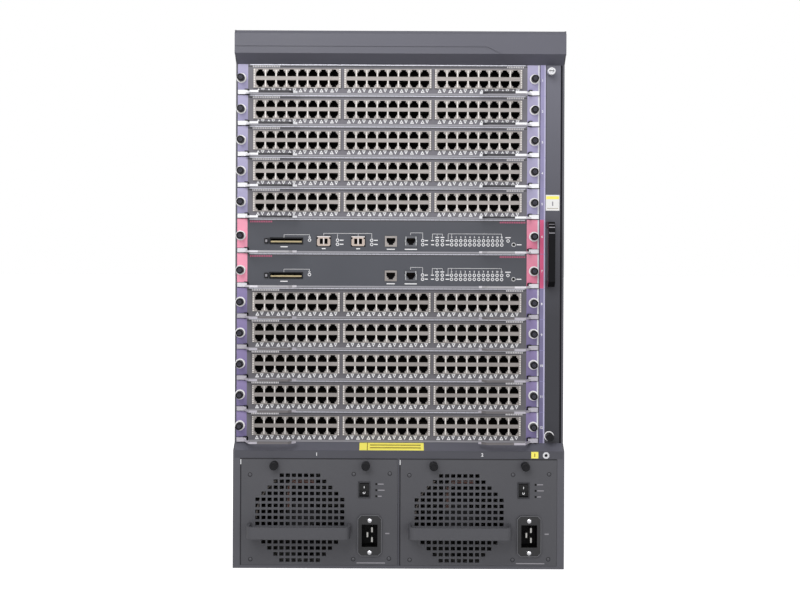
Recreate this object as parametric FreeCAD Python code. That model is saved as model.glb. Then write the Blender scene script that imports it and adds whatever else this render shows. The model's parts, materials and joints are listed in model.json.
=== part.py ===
import FreeCAD, Part
import os
from math import cos, pi, radians, sin, tan

from FreeCAD import Vector

# A modular chassis switch. Twelve cards slide into level slots: five line cards, two
# management cards and five more line cards, counted from the top. A tall fan tray
# stands at their right and two power supplies fill the bay below them.
# Millimetres; +X is right seen from the front, +Y is to the rear, +Z is up.

# Clearances
slide_gap = 0.3      # between a sliding piece and what guides it
seat_gap = 0.1       # between pieces fixed to each other in one node
slot_gap = 0.6       # between the faceplates of neighbouring cards

# Chassis
body_width = 436.0
body_depth = 420.0   # bezel face to rear face, without knobs and handles
wall = 2.0           # side walls, top and rear
base_thickness = 4.0
header_height = 10.0   # upright face above the power supplies
ledge_height = 9.0     # sloping ledge above that face
psu_step = 15.0        # the power supplies stand this far in front of the cards
bezel_height = 42.4
bezel_step = 18.0      # the bezel stands this far in front of the cards
bezel_under = 12.0     # height of the bezel's sloping underside
bezel_chamfer = 4.5
bezel_wall = 2.5
groove_width = 1.2
groove_depth = 0.8
groove_height = 21.0     # below the top of the bezel
groove_turn = 104.0      # where the groove leaves its level run, from the right end
psu_column = 9.4         # side flanges beside the power supplies
fan_column = 4.7         # right flange beside the fan tray
vent_height = 9.0
vent_margin = 62.0       # from the card plane and from the backplane
rear_vent_rows = 4
rear_vent_pitch = 24.0
rear_vent_margin = 38.95  # from the ends of the power supply in front of it

# Card cage
line_pitch = 41.0
mpu_pitch = 45.8
line_cards = 10
mpu_cards = 2
strip_width = 7.9        # front flange of the fan bay wall, which carries slot numbers
bay_wall = 1.2
rail_reach = 8.0         # how far a card guide stands out from its wall
rail_height = 6.0
rail_web = 1.5
rail_start = 25.0        # behind the card plane
rail_end_gap = 14.1      # from the card guides to the backplane
backplane_thickness = 4.0
rear_room = 31.9         # behind the backplane

# Cards
plate = 1.5
flange = 12.0
board = 1.6
board_height = 7.25       # underside of the board above the bottom of its card
mpu_board_height = 6.6   # the same on a management card, whose sockets sit lower
board_notch = 18.0       # front corners of that board, where the lever heads swing
notch_width = 15.5       # lower corners of a faceplate, where the lever heads swing
notch_height = 6.6
knob_radius = 4.65
knob_reach = 13.0
knob_sides = 12
knob_insets = (4.9, 6.8)    # from the card's left and right ends
knob_height = 21.7
mpu_knob_height = 22.8
plug_width = 300.0       # rear connector of a card
plug_height = 12.0
plug_depth = 18.0
plug_overhang = 2.0
header_depth = 10.0      # mating connector on the backplane

# Jack gangs: eight columns of two ports
gangs = 3
gang_margin = 19.85       # what the gangs leave free at each end of a card
gang_space = 4.4         # between gangs
gang_height = 25.5
gang_depth = 28.0
gang_proud = 1.0
gang_shift = -1.2         # gangs lie this far right of the card's middle
port_columns = 8
port_margin = 9.055      # from a gang's end to the middle of its first column
port_width = 11.7
port_height = 9.3
port_depth = 14.0
port_bar = 5.0           # shield strip between the two rows
port_bar_proud = 0.8
window_gap = 0.3

# Ejector levers
lever_pivot = 12.0       # from the end of the card
lever_head = 11.4        # reach of the head from the pivot towards the end
lever_head_height = 5.6
lever_arm_height = 2.7
lever_lift = 0.4         # underside of the head above the bottom of the card
lever_width = 3.0
lever_bow = 20.5         # how far the arm stands in front of the faceplate
lever_run = 49.5         # straight part of the arm
lever_tip = 9.0
lever_angle = 22.0       # slope of the arm's root, from straight ahead
lever_set = 2.6          # the pivot stands this far in front of the faceplate
head_front = 3.4
head_back = 1.4

# Management card features, measured from its left end and its bottom
button_x = 38.9
button_width = 5.2
button_height = 6.4
button_length = 14.0
button_proud = 2.5
flash_x = 65.2           # middle of the memory card slot
flash_width = 43.0
flash_height = 5.6
flash_slot_width = 44.4
flash_slot_height = 8.6
flash_depth = 38.0
flash_back = 4.0         # of the slot's block, behind its mouth
port_row_z = 15.8        # middle of the row of slots and sockets
module_x = (114.9, 160.6)
module_width = 19.0
module_height = 14.0
module_depth = 46.0
fibre_pitch = 6.25
fibre_width = 4.6
fibre_height = 7.0
fibre_depth = 11.0
socket_x = (204.1, 230.7)
socket_proud = 0.4       # sockets stand this far in front of the faceplate
socket_width = 16.0
socket_height = 14.2
socket_depth = 22.0
socket_opening = 11.7
socket_opening_height = 8.6
reset_inset = 33.6       # from the card's right end
reset_z = 12.0
reset_sunk = 0.2         # the button lies this far inside the faceplate
reset_radius = 1.6
reset_hole = 2.1
reset_length = 9.0

# Fan tray
tray_width = 19.6
tray_panel = 2.0
tray_depth = 340.0
tray_sheet = 1.2
tray_inset = 1.0         # the carrier sheet lies inside the panel's edges
fans = 3
fan_pitch = 158.0
fan_frame = 152.0
fan_opening = 72.0
fan_thickness = 15.0
fan_set_back = 172.0
fan_radius = 69.0
fan_hub = 22.0
fan_hub_length = 10.0
fan_blades = 5
fan_blade_pitch = 60.0
fan_bar = 12.0
fan_opening_sides = 16
tray_handle_height = 85.5
tray_handle_width = 9.0
tray_handle_reach = 24.0
tray_handle_bar = 7.0
tray_handle_middle = 414.6     # above the floor
tray_grip_x = 5.9              # middle of the handle and knobs, from the tray's left edge
tray_knob_inset = 9.0          # from the ends of the tray
tray_knob_radius = 5.0
blade_thickness = 1.6    # of every fan's blades
blade_root = 1.0         # how far a blade reaches into its hub

# Power supplies
psu_height = 141.0
partition = 2.0
psu_panel = 2.0
psu_wall = 1.5
psu_depth = 330.0
psu_inset = 2.0
vent_rows = (7, 9, 11, 13, 15, 15, 15, 15, 15, 15, 15, 13, 11, 9, 7)
vent_pitch = 7.97
vent_hole = 5.6
vent_hole_height = 4.8
vent_z = 62.3
handle_margin = 11.5     # from each end of the panel's left part
handle_band = 15.4
handle_reach = 33.0
handle_sheet = 3.0
handle_bend = 9.0
handle_z = 48.5
psu_knob_insets = (44.7, 42.0)   # from the panel's left and right ends
psu_knob_drop = 8.6
psu_knob_radius = 5.3
psu_knob_reach = 12.0
rocker_inset = 43.9      # from the panel's right end
rocker_z = 99.5
rocker_width = 12.0
rocker_height = 17.5
rocker_frame = 1.6
rocker_proud = 1.2
rocker_depth = 9.0
rocker_end_gap = 0.4
rocker_back = 2.0        # thickness of the rocker behind its pivot
rocker_taper = 1.0
rocker_rise = 0.6
rocker_tilt = 8.0
inlet_part = 50.0        # right part of the panel, beside the handle
inlet_inset = 36.5       # from the panel's right end
inlet_z = 39.6
inlet_width = 31.3
inlet_height = 53.6
inlet_chamfer = 4.5
inlet_plate = 3.0
inlet_mouth = 20.8
inlet_mouth_height = 29.4
inlet_depth = 24.0
inlet_wall = 1.6
blade_back = 6.5         # tips of the blades behind the face of the inlet
blade_width = 2.0
blade_height = 6.3
blade_spread = 6.0
blade_drop = 6.5
psu_fan_radius = 52.0
psu_fan_hub = 20.0
psu_fan_blades = 5
psu_fan_blade_pitch = 45.0
psu_fan_length = 22.0
psu_fan_gap = 8.0       # from the panel to the rotor
psu_fan_bar_depth = 3.0
hub_sides = 12           # of every fan's hub

# Socket for an earthing wrist strap
strap_inset = 24.2       # from the right side
strap_rim = 8.4
strap_sleeve = 6.2
strap_bore = 2.0         # radius
strap_flange = 1.2
strap_length = 9.0
small_sides = 8          # of the socket and of the reset buttons

# Bolt holes for mounting ears in each side wall
ear_bolt_radius = 2.25
ear_bolts = 2
ear_bolt_pitch = 133.35
ear_bolt_inset = 30.0    # behind the card plane
ear_bolt_low = 470.0

# Places worked out from the sizes above
left = -body_width / 2
right = body_width / 2
handle_front = -(body_depth + handle_reach - (bezel_step - psu_step)) / 2
psu_face = handle_front + handle_reach
card_face = psu_face + psu_step
bezel_face = card_face - bezel_step
rear = bezel_face + body_depth
psu_floor = base_thickness
psu_ceiling = psu_floor + psu_height
ledge_foot = psu_ceiling + header_height
cage_floor = ledge_foot + ledge_height
cage_height = line_cards * line_pitch + mpu_cards * mpu_pitch
cage_ceiling = cage_floor + cage_height
top = cage_ceiling + bezel_height
tray_left = right - fan_column - slide_gap - tray_width
tray_sheet_face = tray_left + tray_width - tray_inset - tray_sheet
strip_right = tray_left - slide_gap
strip_left = strip_right - strip_width
card_left = left + wall + slide_gap
card_right = strip_left - slide_gap
card_width = card_right - card_left
card_middle = (card_left + card_right) / 2
gang_pitch = (card_width - 2 * gang_margin) / gangs
gang_width = gang_pitch - gang_space
port_pitch = (gang_width - 2 * port_margin) / (port_columns - 1)
reset_x = card_width - reset_inset
bay_web_right = strip_left + bay_wall
backplane_face = rear - wall - rear_room - backplane_thickness
header_face = backplane_face - header_depth
plug_back = header_face - slide_gap
board_back = plug_back - plug_overhang
board_front = card_face + plate + window_gap
rail_slot = board + 2 * slide_gap
board_edge = rail_web + slide_gap
psu_width = (body_width - 2 * psu_column - partition) / 2 - 2 * slide_gap
psu_panel_height = psu_height - 2 * slide_gap
vent_part = psu_width - inlet_part
vent_x = vent_part / 2
handle_width = vent_part - 2 * handle_margin
inlet_x = psu_width - inlet_inset
rocker_x = psu_width - rocker_inset
psu_knob_x = (psu_knob_insets[0], psu_width - psu_knob_insets[1])
strap_x = right - strap_inset

nodes = {}


def box(x, y, z):
    """A block from its two ends along each axis."""
    low = Vector(min(x), min(y), min(z))
    return Part.makeBox(abs(x[1] - x[0]), abs(y[1] - y[0]), abs(z[1] - z[0]), low)


def centred(middle, size):
    return (middle - size / 2, middle + size / 2)


def polygon(corners):
    return Part.Face(Part.makePolygon(corners + corners[:1]))


def prism_along_x(profile, x):
    """A profile of (y, z) corners carried from x[0] to x[1]."""
    corners = [Vector(x[0], y, z) for y, z in profile]
    return polygon(corners).extrude(Vector(x[1] - x[0], 0, 0))


def prism_along_y(profile, y):
    """A profile of (x, z) corners carried from y[0] to y[1]."""
    corners = [Vector(x, y[0], z) for x, z in profile]
    return polygon(corners).extrude(Vector(0, y[1] - y[0], 0))


def prism_along_z(profile, z):
    """A profile of (x, y) corners carried from z[0] to z[1]."""
    corners = [Vector(x, y, z[0]) for x, y in profile]
    return polygon(corners).extrude(Vector(0, 0, z[1] - z[0]))


def ring_points(middle, radius, sides, turn=0.0):
    """Corners of a regular polygon about (u, v)."""
    steps = [turn + 2 * pi * n / sides for n in range(sides)]
    return [(middle[0] + radius * cos(a), middle[1] + radius * sin(a)) for a in steps]


def knob(x, z, face, radius, reach):
    """A captive screw's knurled head, standing in front of a face."""
    back = face - seat_gap
    sides = ring_points((x, z), radius, knob_sides, pi / knob_sides)
    return prism_along_y(sides, (back - reach, back))


def save(name, *solids):
    for solid in solids:
        assert solid.isValid() and solid.Volume > 0, name
    shape = solids[0] if len(solids) == 1 else Part.makeCompound(list(solids))
    nodes[name] = shape
    shape.exportStep(f"parts/{name}.step")


# Chassis

def wall_profile():
    """Side view of a side wall: it follows the power supplies, the ledge and the bezel."""
    return [
        (psu_face, 0.0),
        (rear, 0.0),
        (rear, top),
        (bezel_face + bezel_wall, top),
        (bezel_face + bezel_wall, cage_ceiling + bezel_under),
        (card_face, cage_ceiling),
        (card_face, cage_floor),
        (psu_face, ledge_foot),
    ]


def side_wall(x, side):
    """A side wall with a row of air slots for each card; side is -1 or 1."""
    solid = prism_along_x(wall_profile(), x)
    front = card_face + vent_margin
    back = backplane_face - vent_margin
    for _, low, high in slots():
        z = centred((low + high) / 2, vent_height)
        solid = solid.cut(box(x, (front, back), z))
    for n in range(ear_bolts):
        start = Vector(x[0], card_face + ear_bolt_inset, ear_bolt_low + n * ear_bolt_pitch)
        solid = solid.cut(Part.makeCylinder(ear_bolt_radius, wall, start, Vector(1, 0, 0)))
    flange_z = (base_thickness, psu_ceiling)
    edge = x[0] if side < 0 else x[1]
    reach = -side * psu_column
    solid = solid.fuse(box((edge, edge + reach), (psu_face, psu_face + wall), flange_z))
    if side > 0:
        flange_x = (edge - fan_column, edge)
        flange_y = (card_face, card_face + wall)
        solid = solid.fuse(box(flange_x, flange_y, (cage_floor, cage_ceiling)))
    return solid.removeSplitter()


def make_side_walls():
    save(
        "side_walls",
        side_wall((left, left + wall), -1),
        side_wall((right - wall, right), 1),
    )


def make_base():
    x = (left + wall, right - wall)
    save("base_panel", box(x, (psu_face, rear - wall), (0.0, base_thickness)))


def make_top():
    x = (left + wall, right - wall)
    save("top_panel", box(x, (card_face, rear - wall), (top - wall, top)))


def make_rear():
    """The rear panel, with air slots behind each power supply."""
    x = (left + wall, right - wall)
    solid = box(x, (rear - wall, rear), (0.0, top))
    middle = (psu_floor + psu_ceiling) / 2
    width = psu_width - 2 * rear_vent_margin
    for side in (-1, 1):
        across = centred(side * (psu_width + partition) / 2, width)
        for n in range(rear_vent_rows):
            z = middle + (n - (rear_vent_rows - 1) / 2) * rear_vent_pitch
            solid = solid.cut(box(across, (rear - wall, rear), centred(z, vent_height)))
    save("rear_panel", solid)


def make_psu_bay():
    """The shelf over the power supplies, its header and ledge, and their partition."""
    inner = plate
    profile = [
        (psu_face, psu_ceiling),
        (rear - wall, psu_ceiling),
        (rear - wall, psu_ceiling + inner),
        (psu_face + inner, psu_ceiling + inner),
        (psu_face + inner, ledge_foot - inner / 2),
        (card_face + inner, cage_floor - inner),
        (rear - wall, cage_floor - inner),
        (rear - wall, cage_floor),
        (card_face, cage_floor),
        (psu_face, ledge_foot),
    ]
    shelf = prism_along_x(profile, (left + wall, right - wall))
    back = psu_face + psu_depth
    divider = box(centred(0, partition), (psu_face, back), (psu_floor, psu_ceiling))
    hole = strap_socket_body(strap_sleeve + 2 * seat_gap, psu_face, inner)
    save("psu_bay_frame", shelf.cut(hole).fuse(divider).removeSplitter())


def strap_socket_body(width, front, length):
    """An eight-sided body about the axis of the strap socket."""
    z = (psu_ceiling + ledge_foot) / 2
    turn = pi / small_sides
    corner = width / 2 / cos(turn)
    sides = ring_points((strap_x, z), corner, small_sides, turn)
    return prism_along_y(sides, (front, front + length))


def make_strap_socket():
    """The wrist strap's earthing socket: a flanged sleeve in the header."""
    front = psu_face - strap_flange
    rim = strap_socket_body(strap_rim, front, strap_flange)
    sleeve = strap_socket_body(strap_sleeve, front, strap_length)
    start = Vector(strap_x, front, (psu_ceiling + ledge_foot) / 2)
    bore = Part.makeCylinder(strap_bore, strap_length, start, Vector(0, 1, 0))
    save("wrist_strap_socket", rim.fuse(sleeve).removeSplitter().cut(bore))


def make_bezel():
    """The moulded top bezel: a hollow cover with a grooved face, open at the back."""
    crest = top - bezel_chamfer
    lip = cage_ceiling + bezel_under
    outer = [
        (bezel_face, lip),
        (card_face, cage_ceiling),
        (card_face, top),
        (bezel_face + bezel_chamfer, top),
        (bezel_face, crest),
    ]
    back = (card_face, top)
    slope = bezel_under / bezel_step
    inner_front = bezel_face + bezel_wall
    inner = [
        (inner_front, lip + bezel_wall - bezel_wall * slope),
        (back[0], cage_ceiling + bezel_wall),
        (back[0], top - bezel_wall),
        (inner_front + bezel_chamfer / 2, top - bezel_wall),
        (inner_front, crest - bezel_wall / 2),
    ]
    solid = prism_along_x(outer, (left, right))
    solid = solid.cut(prism_along_x(inner, (left + wall + bezel_wall, right - wall - bezel_wall)))
    high = top - groove_height
    turn = right - groove_turn
    end = turn + 2 * (high - lip)
    groove = [
        (left, high),
        (turn, high),
        (end, lip),
        (end - 2 * groove_width, lip),
        (turn - groove_width, high - groove_width),
        (left, high - groove_width),
    ]
    cut = prism_along_y(groove, (bezel_face, bezel_face + groove_depth))
    notch_y = (bezel_face + bezel_wall, card_face)
    for x in ((left, left + wall), (right - wall, right)):
        solid = solid.cut(box(x, notch_y, (cage_ceiling, top)))
    save("top_bezel", solid.cut(cut).removeSplitter())


def make_bay_wall():
    """The wall between the cards and the fans, with the flange for slot numbers."""
    web_x = (strip_left, bay_web_right)
    y = (card_face, backplane_face + backplane_thickness)
    solid = box(web_x, y, (cage_floor, cage_ceiling))
    front = card_face + vent_margin
    back = backplane_face - vent_margin
    for _, low, high in slots()[::2]:
        z = centred((low + high) / 2, vent_height)
        solid = solid.cut(box(web_x, (front, back), z))
    flange_y = (card_face, card_face + plate)
    lip = box((strip_left, strip_right), flange_y, (cage_floor, cage_ceiling))
    save("fan_bay_wall", solid.fuse(lip).removeSplitter())


def card_guide(wall_x, side, z):
    """A channel that holds one edge of a card's board; side is 1 where it opens to +X."""
    slot_low = z - slide_gap
    low = slot_low - (rail_height - rail_slot) / 2
    high = low + rail_height
    web = wall_x + side * rail_web
    edge = wall_x + side * rail_reach
    profile = [
        (wall_x, low),
        (edge, low),
        (edge, slot_low),
        (web, slot_low),
        (web, slot_low + rail_slot),
        (edge, slot_low + rail_slot),
        (edge, high),
        (wall_x, high),
    ]
    return prism_along_y(profile, (card_face + rail_start, backplane_face - rail_end_gap))


def make_guides():
    guides = []
    for name, low, _ in slots():
        z = board_level(name, low)
        guides.append(card_guide(left + wall, 1, z))
        guides.append(card_guide(strip_left, -1, z))
    save("card_guides", *guides)


def make_backplane():
    """The backplane and the mating connector of each card."""
    x = (left + wall, strip_left)
    y = (backplane_face, backplane_face + backplane_thickness)
    headers = []
    for name, low, _ in slots():
        z = board_level(name, low) + board + seat_gap
        header_y = (header_face, backplane_face - seat_gap)
        headers.append(box(centred(card_middle, plug_width), header_y, (z, z + plug_height)))
    save("backplane", box(x, y, (cage_floor, cage_ceiling)), *headers)


# Cards

def card_order():
    """Card names from the top slot down."""
    lines = [f"line_card_{n + 1:02d}" for n in range(line_cards)]
    half = line_cards // 2
    mpus = [f"mpu_card_{n + 1}" for n in range(mpu_cards)]
    return lines[:half] + mpus + lines[half:]


def slots():
    """Name, bottom and top of each card, from the lowest up."""
    spans, floor = [], cage_floor
    for name in reversed(card_order()):
        ceiling = floor + (line_pitch if name.startswith("line") else mpu_pitch)
        spans.append((name, floor + slot_gap / 2, ceiling - slot_gap / 2))
        floor = ceiling
    return spans


def board_level(name, low):
    """Underside of a card's board."""
    return low + (board_height if name.startswith("line") else mpu_board_height)


def faceplate(low, high):
    """A folded faceplate with flanges, its lower corners cut out for the levers."""
    profile = [
        (card_face, low),
        (card_face + flange, low),
        (card_face + flange, low + plate),
        (card_face + plate, low + plate),
        (card_face + plate, high - plate),
        (card_face + flange, high - plate),
        (card_face + flange, high),
        (card_face, high),
    ]
    solid = prism_along_x(profile, (card_left, card_right))
    y = (card_face, card_face + flange)
    for end, inward in ((card_left, 1), (card_right, -1)):
        notch_x = (end, end + inward * notch_width)
        solid = solid.cut(box(notch_x, y, (low, low + notch_height)))
    return solid


def card_board(z, notch=0.0):
    """A card's board, with a square notch in each front corner where one is asked for."""
    x = (left + wall + board_edge, strip_left - board_edge)
    solid = box(x, (board_front, board_back), (z, z + board))
    if notch:
        for edge, inward in ((x[0], 1), (x[1], -1)):
            y = (board_front, board_front + notch)
            corner = box((edge, edge + inward * notch), y, (z, z + board))
            solid = solid.cut(corner)
    return solid


def card_plug(z):
    """The rear connector, which stands on the board."""
    foot = z + board + seat_gap
    y = (plug_back - plug_depth, plug_back)
    return box(centred(card_middle, plug_width), y, (foot, foot + plug_height))


def card_knobs(z):
    places = (card_left + knob_insets[0], card_right - knob_insets[1])
    return [knob(x, z, card_face, knob_radius, knob_reach) for x in places]


def gang_starts():
    middle = card_middle + gang_shift
    first = middle - (gangs - 1) * gang_pitch / 2 - gang_width / 2
    return [first + n * gang_pitch for n in range(gangs)]


def jack_gang(x0, z0):
    """A shielded block of ports: eight columns, parted into two rows by a strip."""
    front = card_face - gang_proud
    solid = box((x0, x0 + gang_width), (front, front + gang_depth), (z0, z0 + gang_height))
    first = x0 + (gang_width - (port_columns - 1) * port_pitch) / 2
    middle = z0 + gang_height / 2
    z = centred(middle, 2 * port_height + port_bar)
    ports = []
    for n in range(port_columns):
        x = centred(first + n * port_pitch, port_width)
        ports.append(box(x, (front, front + port_depth), z))
    strip_y = (front - seat_gap - port_bar_proud, front - seat_gap)
    strip = box((x0, x0 + gang_width), strip_y, centred(middle, port_bar))
    return [solid.cut(Part.makeCompound(ports)), strip]


def make_line_card(name, low, high):
    """A line card: three gangs of ports in a folded faceplate, on a board."""
    level = board_level(name, low)
    z0 = level + board + seat_gap
    solid = faceplate(low, high)
    for x0 in gang_starts():
        x = (x0 - window_gap, x0 + gang_width + window_gap)
        z = (z0 - window_gap, z0 + gang_height + window_gap)
        solid = solid.cut(box(x, (card_face, card_face + plate), z))
    jacks = [solid for x0 in gang_starts() for solid in jack_gang(x0, z0)]
    save(
        name,
        solid.removeSplitter(),
        card_board(level),
        card_plug(level),
        *jacks,
        *card_knobs(low + knob_height),
    )


def cage(x, z, width, height, depth):
    """A block of space for a socket: x is from the card's left end, z its middle."""
    front = card_face - socket_proud
    return box(centred(card_left + x, width), (front, front + depth), centred(z, height))


def octagon(x, z, radius, y):
    """An eight-sided rod along Y: x is from the card's left end."""
    return prism_along_y(ring_points((card_left + x, z), radius, small_sides, pi / small_sides), y)


def mpu_faceplate(low, high, modules):
    """A management card's faceplate, cut out for what passes through it."""
    z = low + port_row_z
    holes = [
        (flash_x, flash_slot_width, flash_slot_height),
        (button_x, button_width, button_height),
    ]
    holes += [(x, socket_width, socket_height) for x in socket_x]
    holes += [(x, module_width, module_height) for x in modules]
    solid = faceplate(low, high)
    y = (card_face, card_face + plate)
    for x, width, height in holes:
        across = centred(card_left + x, width + 2 * slide_gap)
        solid = solid.cut(box(across, y, centred(z, height + 2 * slide_gap)))
    return solid.cut(octagon(reset_x, low + reset_z, reset_hole, y)).removeSplitter()


def mpu_sockets(z, modules):
    """The memory slot, the optical modules and the network sockets."""
    block = cage(flash_x, z, flash_slot_width, flash_slot_height, flash_depth + flash_back)
    solids = [block.cut(cage(flash_x, z, flash_width, flash_height, flash_depth))]
    for x in modules:
        block = cage(x, z, module_width, module_height, module_depth)
        for side in (-1, 1):
            middle = x + side * fibre_pitch / 2
            block = block.cut(cage(middle, z, fibre_width, fibre_height, fibre_depth))
        solids.append(block)
    for x in socket_x:
        block = cage(x, z, socket_width, socket_height, socket_depth)
        hole = cage(x, z, socket_opening, socket_opening_height, port_depth)
        solids.append(block.cut(hole))
    return solids


def make_mpu_card(name, low, high):
    """A management card: the upper one carries two optical modules."""
    modules = module_x if name.endswith("1") else ()
    level = board_level(name, low)
    save(
        name,
        mpu_faceplate(low, high, modules),
        card_board(level, board_notch),
        card_plug(level),
        *mpu_sockets(low + port_row_z, modules),
        *card_knobs(low + mpu_knob_height),
    )
    make_mpu_buttons(name, low)


def make_mpu_buttons(name, low):
    """The memory card's eject button and the recessed reset button."""
    x = centred(card_left + button_x, button_width)
    y = (card_face - button_proud, card_face - button_proud + button_length)
    save(name + "_eject_button", box(x, y, centred(low + port_row_z, button_height)))
    y = (card_face + reset_sunk, card_face + reset_sunk + reset_length)
    save(name + "_reset_button", octagon(reset_x, low + reset_z, reset_radius, y))


def lever_outline():
    """Both sides of the lever's arm, as (inward, forward) from the pivot."""
    slope = radians(lever_angle)
    half = lever_width / 2
    foot = lever_bow * tan(slope)
    knee = half * tan((pi / 2 - slope) / 2)
    outer = [
        (-half / cos(slope), 0.0),
        (foot - knee, lever_bow + half),
        (foot + lever_run + knee / 2, lever_bow + half),
        (foot + lever_run + lever_tip + half, lever_bow - lever_tip + half / 2),
    ]
    inner = [
        (foot + lever_run + lever_tip - half, lever_bow - lever_tip - half / 2),
        (foot + lever_run - knee / 2, lever_bow - half),
        (foot + knee, lever_bow - half),
        (half / cos(slope), 0.0),
    ]
    return outer + inner


def lever(low, left_end):
    """An ejector: a head that claws the cage, and a bowed arm to pull."""
    pivot = (card_left + lever_pivot, card_face - lever_set)
    foot = low + lever_lift
    points = [(pivot[0] + u, pivot[1] - v) for u, v in lever_outline()]
    arm = prism_along_z(points, (foot, foot + lever_arm_height))
    front, back = card_face - head_front, card_face + head_back
    heel = pivot[0] + lever_width / 2
    corners = [
        (pivot[0] - lever_head, back),
        (pivot[0] - lever_head, front),
        (heel, front),
        (heel, pivot[1] + lever_width / 2),
        (pivot[0], back),
    ]
    head = prism_along_z(corners, (foot, foot + lever_head_height))
    solid = head.fuse(arm).removeSplitter()
    if left_end:
        return solid
    return solid.mirror(Vector(card_middle, 0, 0), Vector(1, 0, 0))


def make_cards():
    for name, low, high in slots():
        if name.startswith("line"):
            make_line_card(name, low, high)
        else:
            make_mpu_card(name, low, high)
        save(name + "_left_lever", lever(low, True))
        save(name + "_right_lever", lever(low, False))


# Fans

def rotor(radius, hub, length, blades, blade_turn):
    """A fan rotor about +Z, with its hub's foot at the origin."""
    solid = prism_along_z(ring_points((0, 0), hub, hub_sides), (0, length))
    root = hub * cos(pi / hub_sides) - blade_root
    for n in range(blades):
        blade = box((root, radius), centred(0, blade_thickness), (0, length))
        blade.rotate(Vector(0, 0, length / 2), Vector(1, 0, 0), blade_turn)
        blade.rotate(Vector(0, 0, 0), Vector(0, 0, 1), 360 / blades * n)
        solid = solid.fuse(blade)
    return solid.removeSplitter()


def fan_heights():
    middle = (cage_floor + cage_ceiling) / 2
    return [middle + (n - (fans - 1) / 2) * fan_pitch for n in range(fans)]


def tray_frame():
    """The tray: front panel, carrier sheet, its edges and the square frames of its fans."""
    x = (tray_left, tray_left + tray_width)
    y = (card_face + tray_panel + seat_gap, card_face + tray_depth)
    z = (cage_floor + slide_gap, cage_ceiling - slide_gap)
    sheet_x = (tray_sheet_face, tray_sheet_face + tray_sheet)
    sheet = box(sheet_x, y, z)
    solids = [box(x, (card_face, card_face + tray_panel), z)]
    for edge in (z[0], z[1] - tray_sheet):
        lip_x = (x[0] + tray_inset, sheet_x[0] - seat_gap)
        solids.append(box(lip_x, y, (edge, edge + tray_sheet)))
    frame_x = (sheet_x[0] - fan_thickness, sheet_x[0] - seat_gap)
    middle_y = card_face + fan_set_back
    turn = pi / fan_opening_sides
    for height in fan_heights():
        hole = ring_points((middle_y, height), fan_opening, fan_opening_sides, turn)
        hole = prism_along_x(hole, (frame_x[0], sheet_x[1]))
        frame = box(frame_x, centred(middle_y, fan_frame), centred(height, fan_frame))
        bar = box(sheet_x, centred(middle_y, fan_bar), centred(height, 2 * fan_opening))
        solids.append(frame.cut(hole))
        sheet = sheet.cut(hole).fuse(bar)
    return solids + [sheet.removeSplitter()]


def tray_handle():
    """The black pull bar on the tray's panel, standing on two legs."""
    middle = tray_left + tray_grip_x
    z = centred(tray_handle_middle, tray_handle_height)
    back = card_face - seat_gap
    front = back - tray_handle_reach
    leg = tray_handle_bar
    profile = [
        (back, z[0]),
        (front + leg, z[0]),
        (front, z[0] + leg),
        (front, z[1] - leg),
        (front + leg, z[1]),
        (back, z[1]),
        (back, z[1] - leg),
        (front + leg, z[1] - leg),
        (front + leg, z[0] + leg),
        (back, z[0] + leg),
    ]
    return prism_along_x(profile, centred(middle, tray_handle_width))


def make_fan_tray():
    middle = tray_left + tray_grip_x
    heights = (cage_floor + tray_knob_inset, cage_ceiling - tray_knob_inset)
    knobs = [knob(middle, z, card_face, tray_knob_radius, knob_reach) for z in heights]
    save("fan_tray", *tray_frame(), tray_handle(), *knobs)
    for n, height in enumerate(reversed(fan_heights())):
        solid = rotor(fan_radius, fan_hub, fan_hub_length, fan_blades, fan_blade_pitch)
        solid.rotate(Vector(0, 0, 0), Vector(0, 1, 0), -90)
        solid.translate(Vector(tray_sheet_face - slide_gap, card_face + fan_set_back, height))
        save(f"fan_tray_rotor_{n + 1}", solid)


# Power supplies

def psu_left(n):
    """Left edge of the panel of power supply 0 or 1."""
    if n == 0:
        return left + psu_column + slide_gap
    return partition / 2 + slide_gap


def psu_bottom():
    return psu_floor + slide_gap


def psu_case(x0, z0):
    """The sheets of the case behind the panel, and the bar that carries the fan."""
    x = (x0 + psu_inset, x0 + psu_width - psu_inset)
    y = (psu_face + psu_panel + seat_gap, psu_face + psu_depth)
    z = (z0, z0 + psu_panel_height)
    inset = psu_wall + seat_gap
    inner_x = (x[0] + inset, x[1] - inset)
    inner_z = (z[0] + inset, z[1] - inset)
    bar_front = y[0] + psu_fan_gap + psu_fan_length + slide_gap
    return [
        box(x, y, (z[0], z[0] + psu_wall)),
        box(x, y, (z[1] - psu_wall, z[1])),
        box((x[0], x[0] + psu_wall), y, inner_z),
        box((x[1] - psu_wall, x[1]), y, inner_z),
        box(inner_x, (y[1] - psu_wall, y[1]), inner_z),
        box(centred(x0 + vent_x, fan_bar), (bar_front, bar_front + psu_fan_bar_depth), inner_z),
    ]


def psu_front(x0, z0):
    """The panel, with its air slots and openings."""
    through = (psu_face, psu_face + psu_panel)
    solid = box((x0, x0 + psu_width), through, (z0, z0 + psu_panel_height))
    slots = []
    for row, holes in enumerate(vent_rows):
        z = z0 + vent_z + ((len(vent_rows) - 1) / 2 - row) * vent_pitch
        width = (holes - 1) * vent_pitch + vent_hole
        slots.append(box(centred(x0 + vent_x, width), through, centred(z, vent_hole_height)))
    inlet_x_span = centred(x0 + inlet_x, inlet_mouth + 2 * inlet_wall + 2 * window_gap)
    inlet_z_span = centred(z0 + inlet_z, inlet_mouth_height + 2 * inlet_wall + 2 * window_gap)
    slots.append(box(inlet_x_span, through, inlet_z_span))
    solid = solid.cut(Part.makeCompound(slots))
    return add_rocker_well(solid, x0, z0).removeSplitter()


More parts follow.
